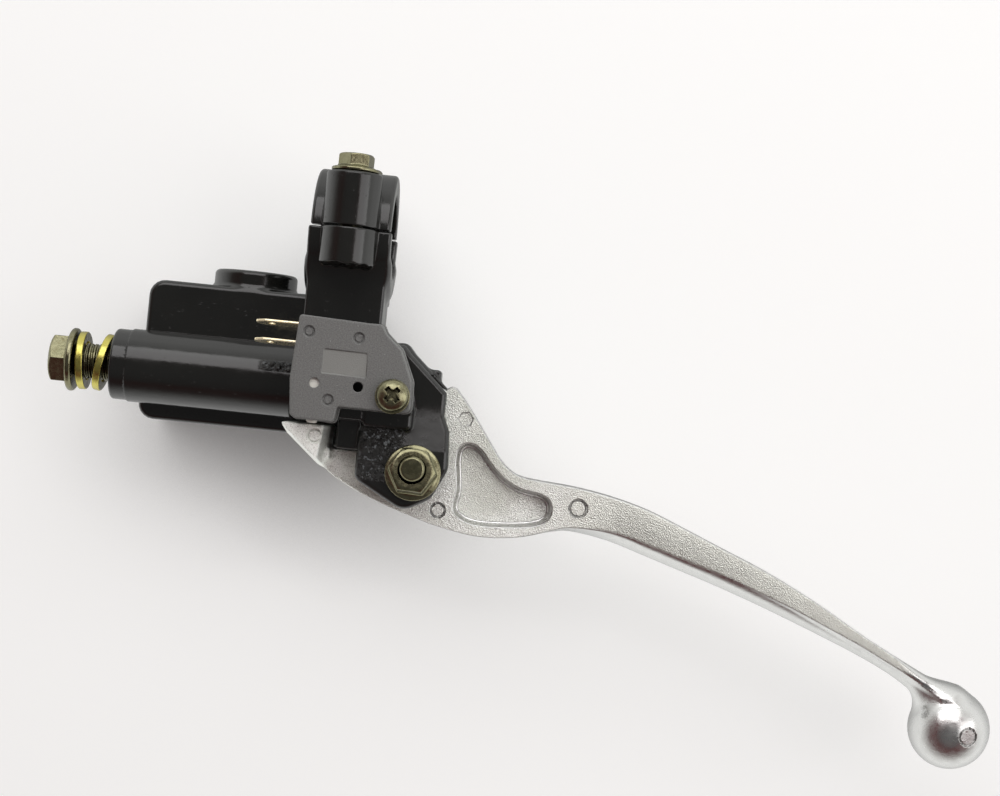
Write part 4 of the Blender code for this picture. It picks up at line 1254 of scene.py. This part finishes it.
def one_sided(name, colour, facing):
    """A matt surface that shows only from its front. Its glow fades close beside the object under a painted
    contact shadow.
    """
    m = Paint(name, colour, 0.8, Specular_IOR_Level=0, Emission_Strength=1)
    # Painted shadow: ambient occlusion, aimed to one side, darkens the glow next to the object as a contact
    # shadow.
    painted_shadow_aim = m.node("CombineXYZ", {0: 0, 1: -0.6, 2: 0.8 * facing})
    cover = m.node("AmbientOcclusion", {"Distance": 0.05, "Normal": painted_shadow_aim}, "AO")
    cover.node.samples = 8
    painted_shadow_mask = m.span(cover, 0.15, 0.95)
    glow = (TABLE_GLOW, TABLE_GLOW, TABLE_GLOW * 0.99)
    m.feed(m.tint(painted_shadow_mask, tuple(c * 0.15 for c in glow), glow), "Emission Color")
    m.feed(m.tint(m.noise(6, 2), colour, tuple(c * 0.985 for c in colour)), "Base Color")
    behind = m.node("NewGeometry", {}, "Backfacing")
    clear = m.node("BsdfTransparent", {})
    choice = m.node("MixShader", {0: behind, 1: m.shader.outputs[0], 2: clear})
    m.link(choice, m.nodes["Material Output"].inputs["Surface"])
    return m.material


def backdrop(name, z, facing):
    """A pale table that only the camera sees, so that it takes real shadows and a painted contact shadow but adds
    no light.
    """
    reach = 6
    corners = [(-reach, -reach, z), (reach, -reach, z), (reach, reach, z), (-reach, reach, z)]
    obj = mesh_object(name, corners, [(0, 1, 2, 3) if facing > 0 else (3, 2, 1, 0)])
    obj.data.materials.append(one_sided(name + "_surface", TABLE_COLOUR, facing))
    obj.visible_diffuse = obj.visible_glossy = False
    obj.visible_transmission = obj.visible_shadow = False


def studio_world():
    """A light tent: dark behind the camera below, bright round the horizon, paler overhead."""
    world = bpy.data.worlds.new("studio")
    bpy.context.scene.world = world
    world.use_nodes = True
    m = Nodes(world.node_tree)
    tent = m.nodes["Background"]
    where = m.node("TexCoord", {}, "Generated")
    tilt = {"Axis": (1, 0.4, 0), "Angle": math.radians(-15)}
    turn = m.node("VectorRotate", {"Vector": where, **tilt})
    split = m.node("SeparateXYZ", {"Vector": turn}, "Z")
    height = m.node("MapRange", {"Value": split, "From Min": -1}, "Result")
    shade = m.node("ValToRGB", {"Fac": height}, "Color")
    stops = (
        (0, (0.17, 0.17, 0.17)),
        (0.07, (0.14, 0.13, 0.13)),
        (0.13, (0.15, 0.052, 0.052)),
        (0.24, (0.20, 0.14, 0.14)),
        (0.33, (0.60, 0.58, 0.56)),
        (0.45, (1.15, 1.15, 1.13)),
        (0.62, (1.30, 1.30, 1.28)),
        (0.82, (0.85, 0.85, 0.84)),
        (1, (0.38, 0.38, 0.37)),
    )
    elements = shade.node.color_ramp.elements
    while len(elements) < len(stops):
        elements.new(0.5)
    for stop, (at, value) in zip(elements, stops):
        stop.position = at
        stop.color = (*value, 1)
    m.link(shade, tent.inputs["Color"])
    seen = m.node("Background", {"Color": (0.88, 0.885, 0.88, 1)})
    ray = m.node("LightPath", {}, "Is Camera Ray")
    choice = m.node("MixShader", {0: ray, 1: tent.outputs[0], 2: seen})
    m.link(choice, m.nodes["World Output"].inputs["Surface"])


def softbox(name, place, target, size, watts):
    """A rectangular light that faces a target."""
    light = bpy.data.lights.new(name, "AREA")
    light.shape = "RECTANGLE"
    light.size, light.size_y = size
    light.energy = watts
    obj = put(name, light)
    obj.location = place
    obj.rotation_euler = (Vector(target) - Vector(place)).to_track_quat("-Z", "Y").to_euler()


def camera():
    """Straight up from below, the way the unit is looked at lying on its cover."""
    c, s = math.cos(CAMERA_ROLL), math.sin(CAMERA_ROLL)
    stand = Matrix(((c, -s, 0), (-s, -c, 0), (0, 0, -1))).transposed().to_4x4()
    stand.translation = Vector(CAMERA_PLACE)
    data = bpy.data.cameras.new("camera")
    data.lens = CAMERA_LENS
    data.sensor_width = 36
    data.clip_start = 0.01
    obj = put("camera", data)
    obj.matrix_world = stand
    bpy.context.scene.camera = obj


assemble()
dress_cad_nodes()
backdrop("table_under_cover", TANK_HI[2] * MM + TABLE_GAP, -1)
backdrop("floor_below", CAD_BOX[0].z - TABLE_GAP, 1)
studio_world()
softbox("rider_side", (0, -0.43, -0.52), (0.02, 0.04, 0), (0.80, 0.47), 3.3)
softbox("outboard_side", (0.58, 0, -0.50), (0.04, 0.03, 0), (0.42, 0.55), 1.6)
camera()
bpy.context.scene.view_settings.view_transform = "Standard"
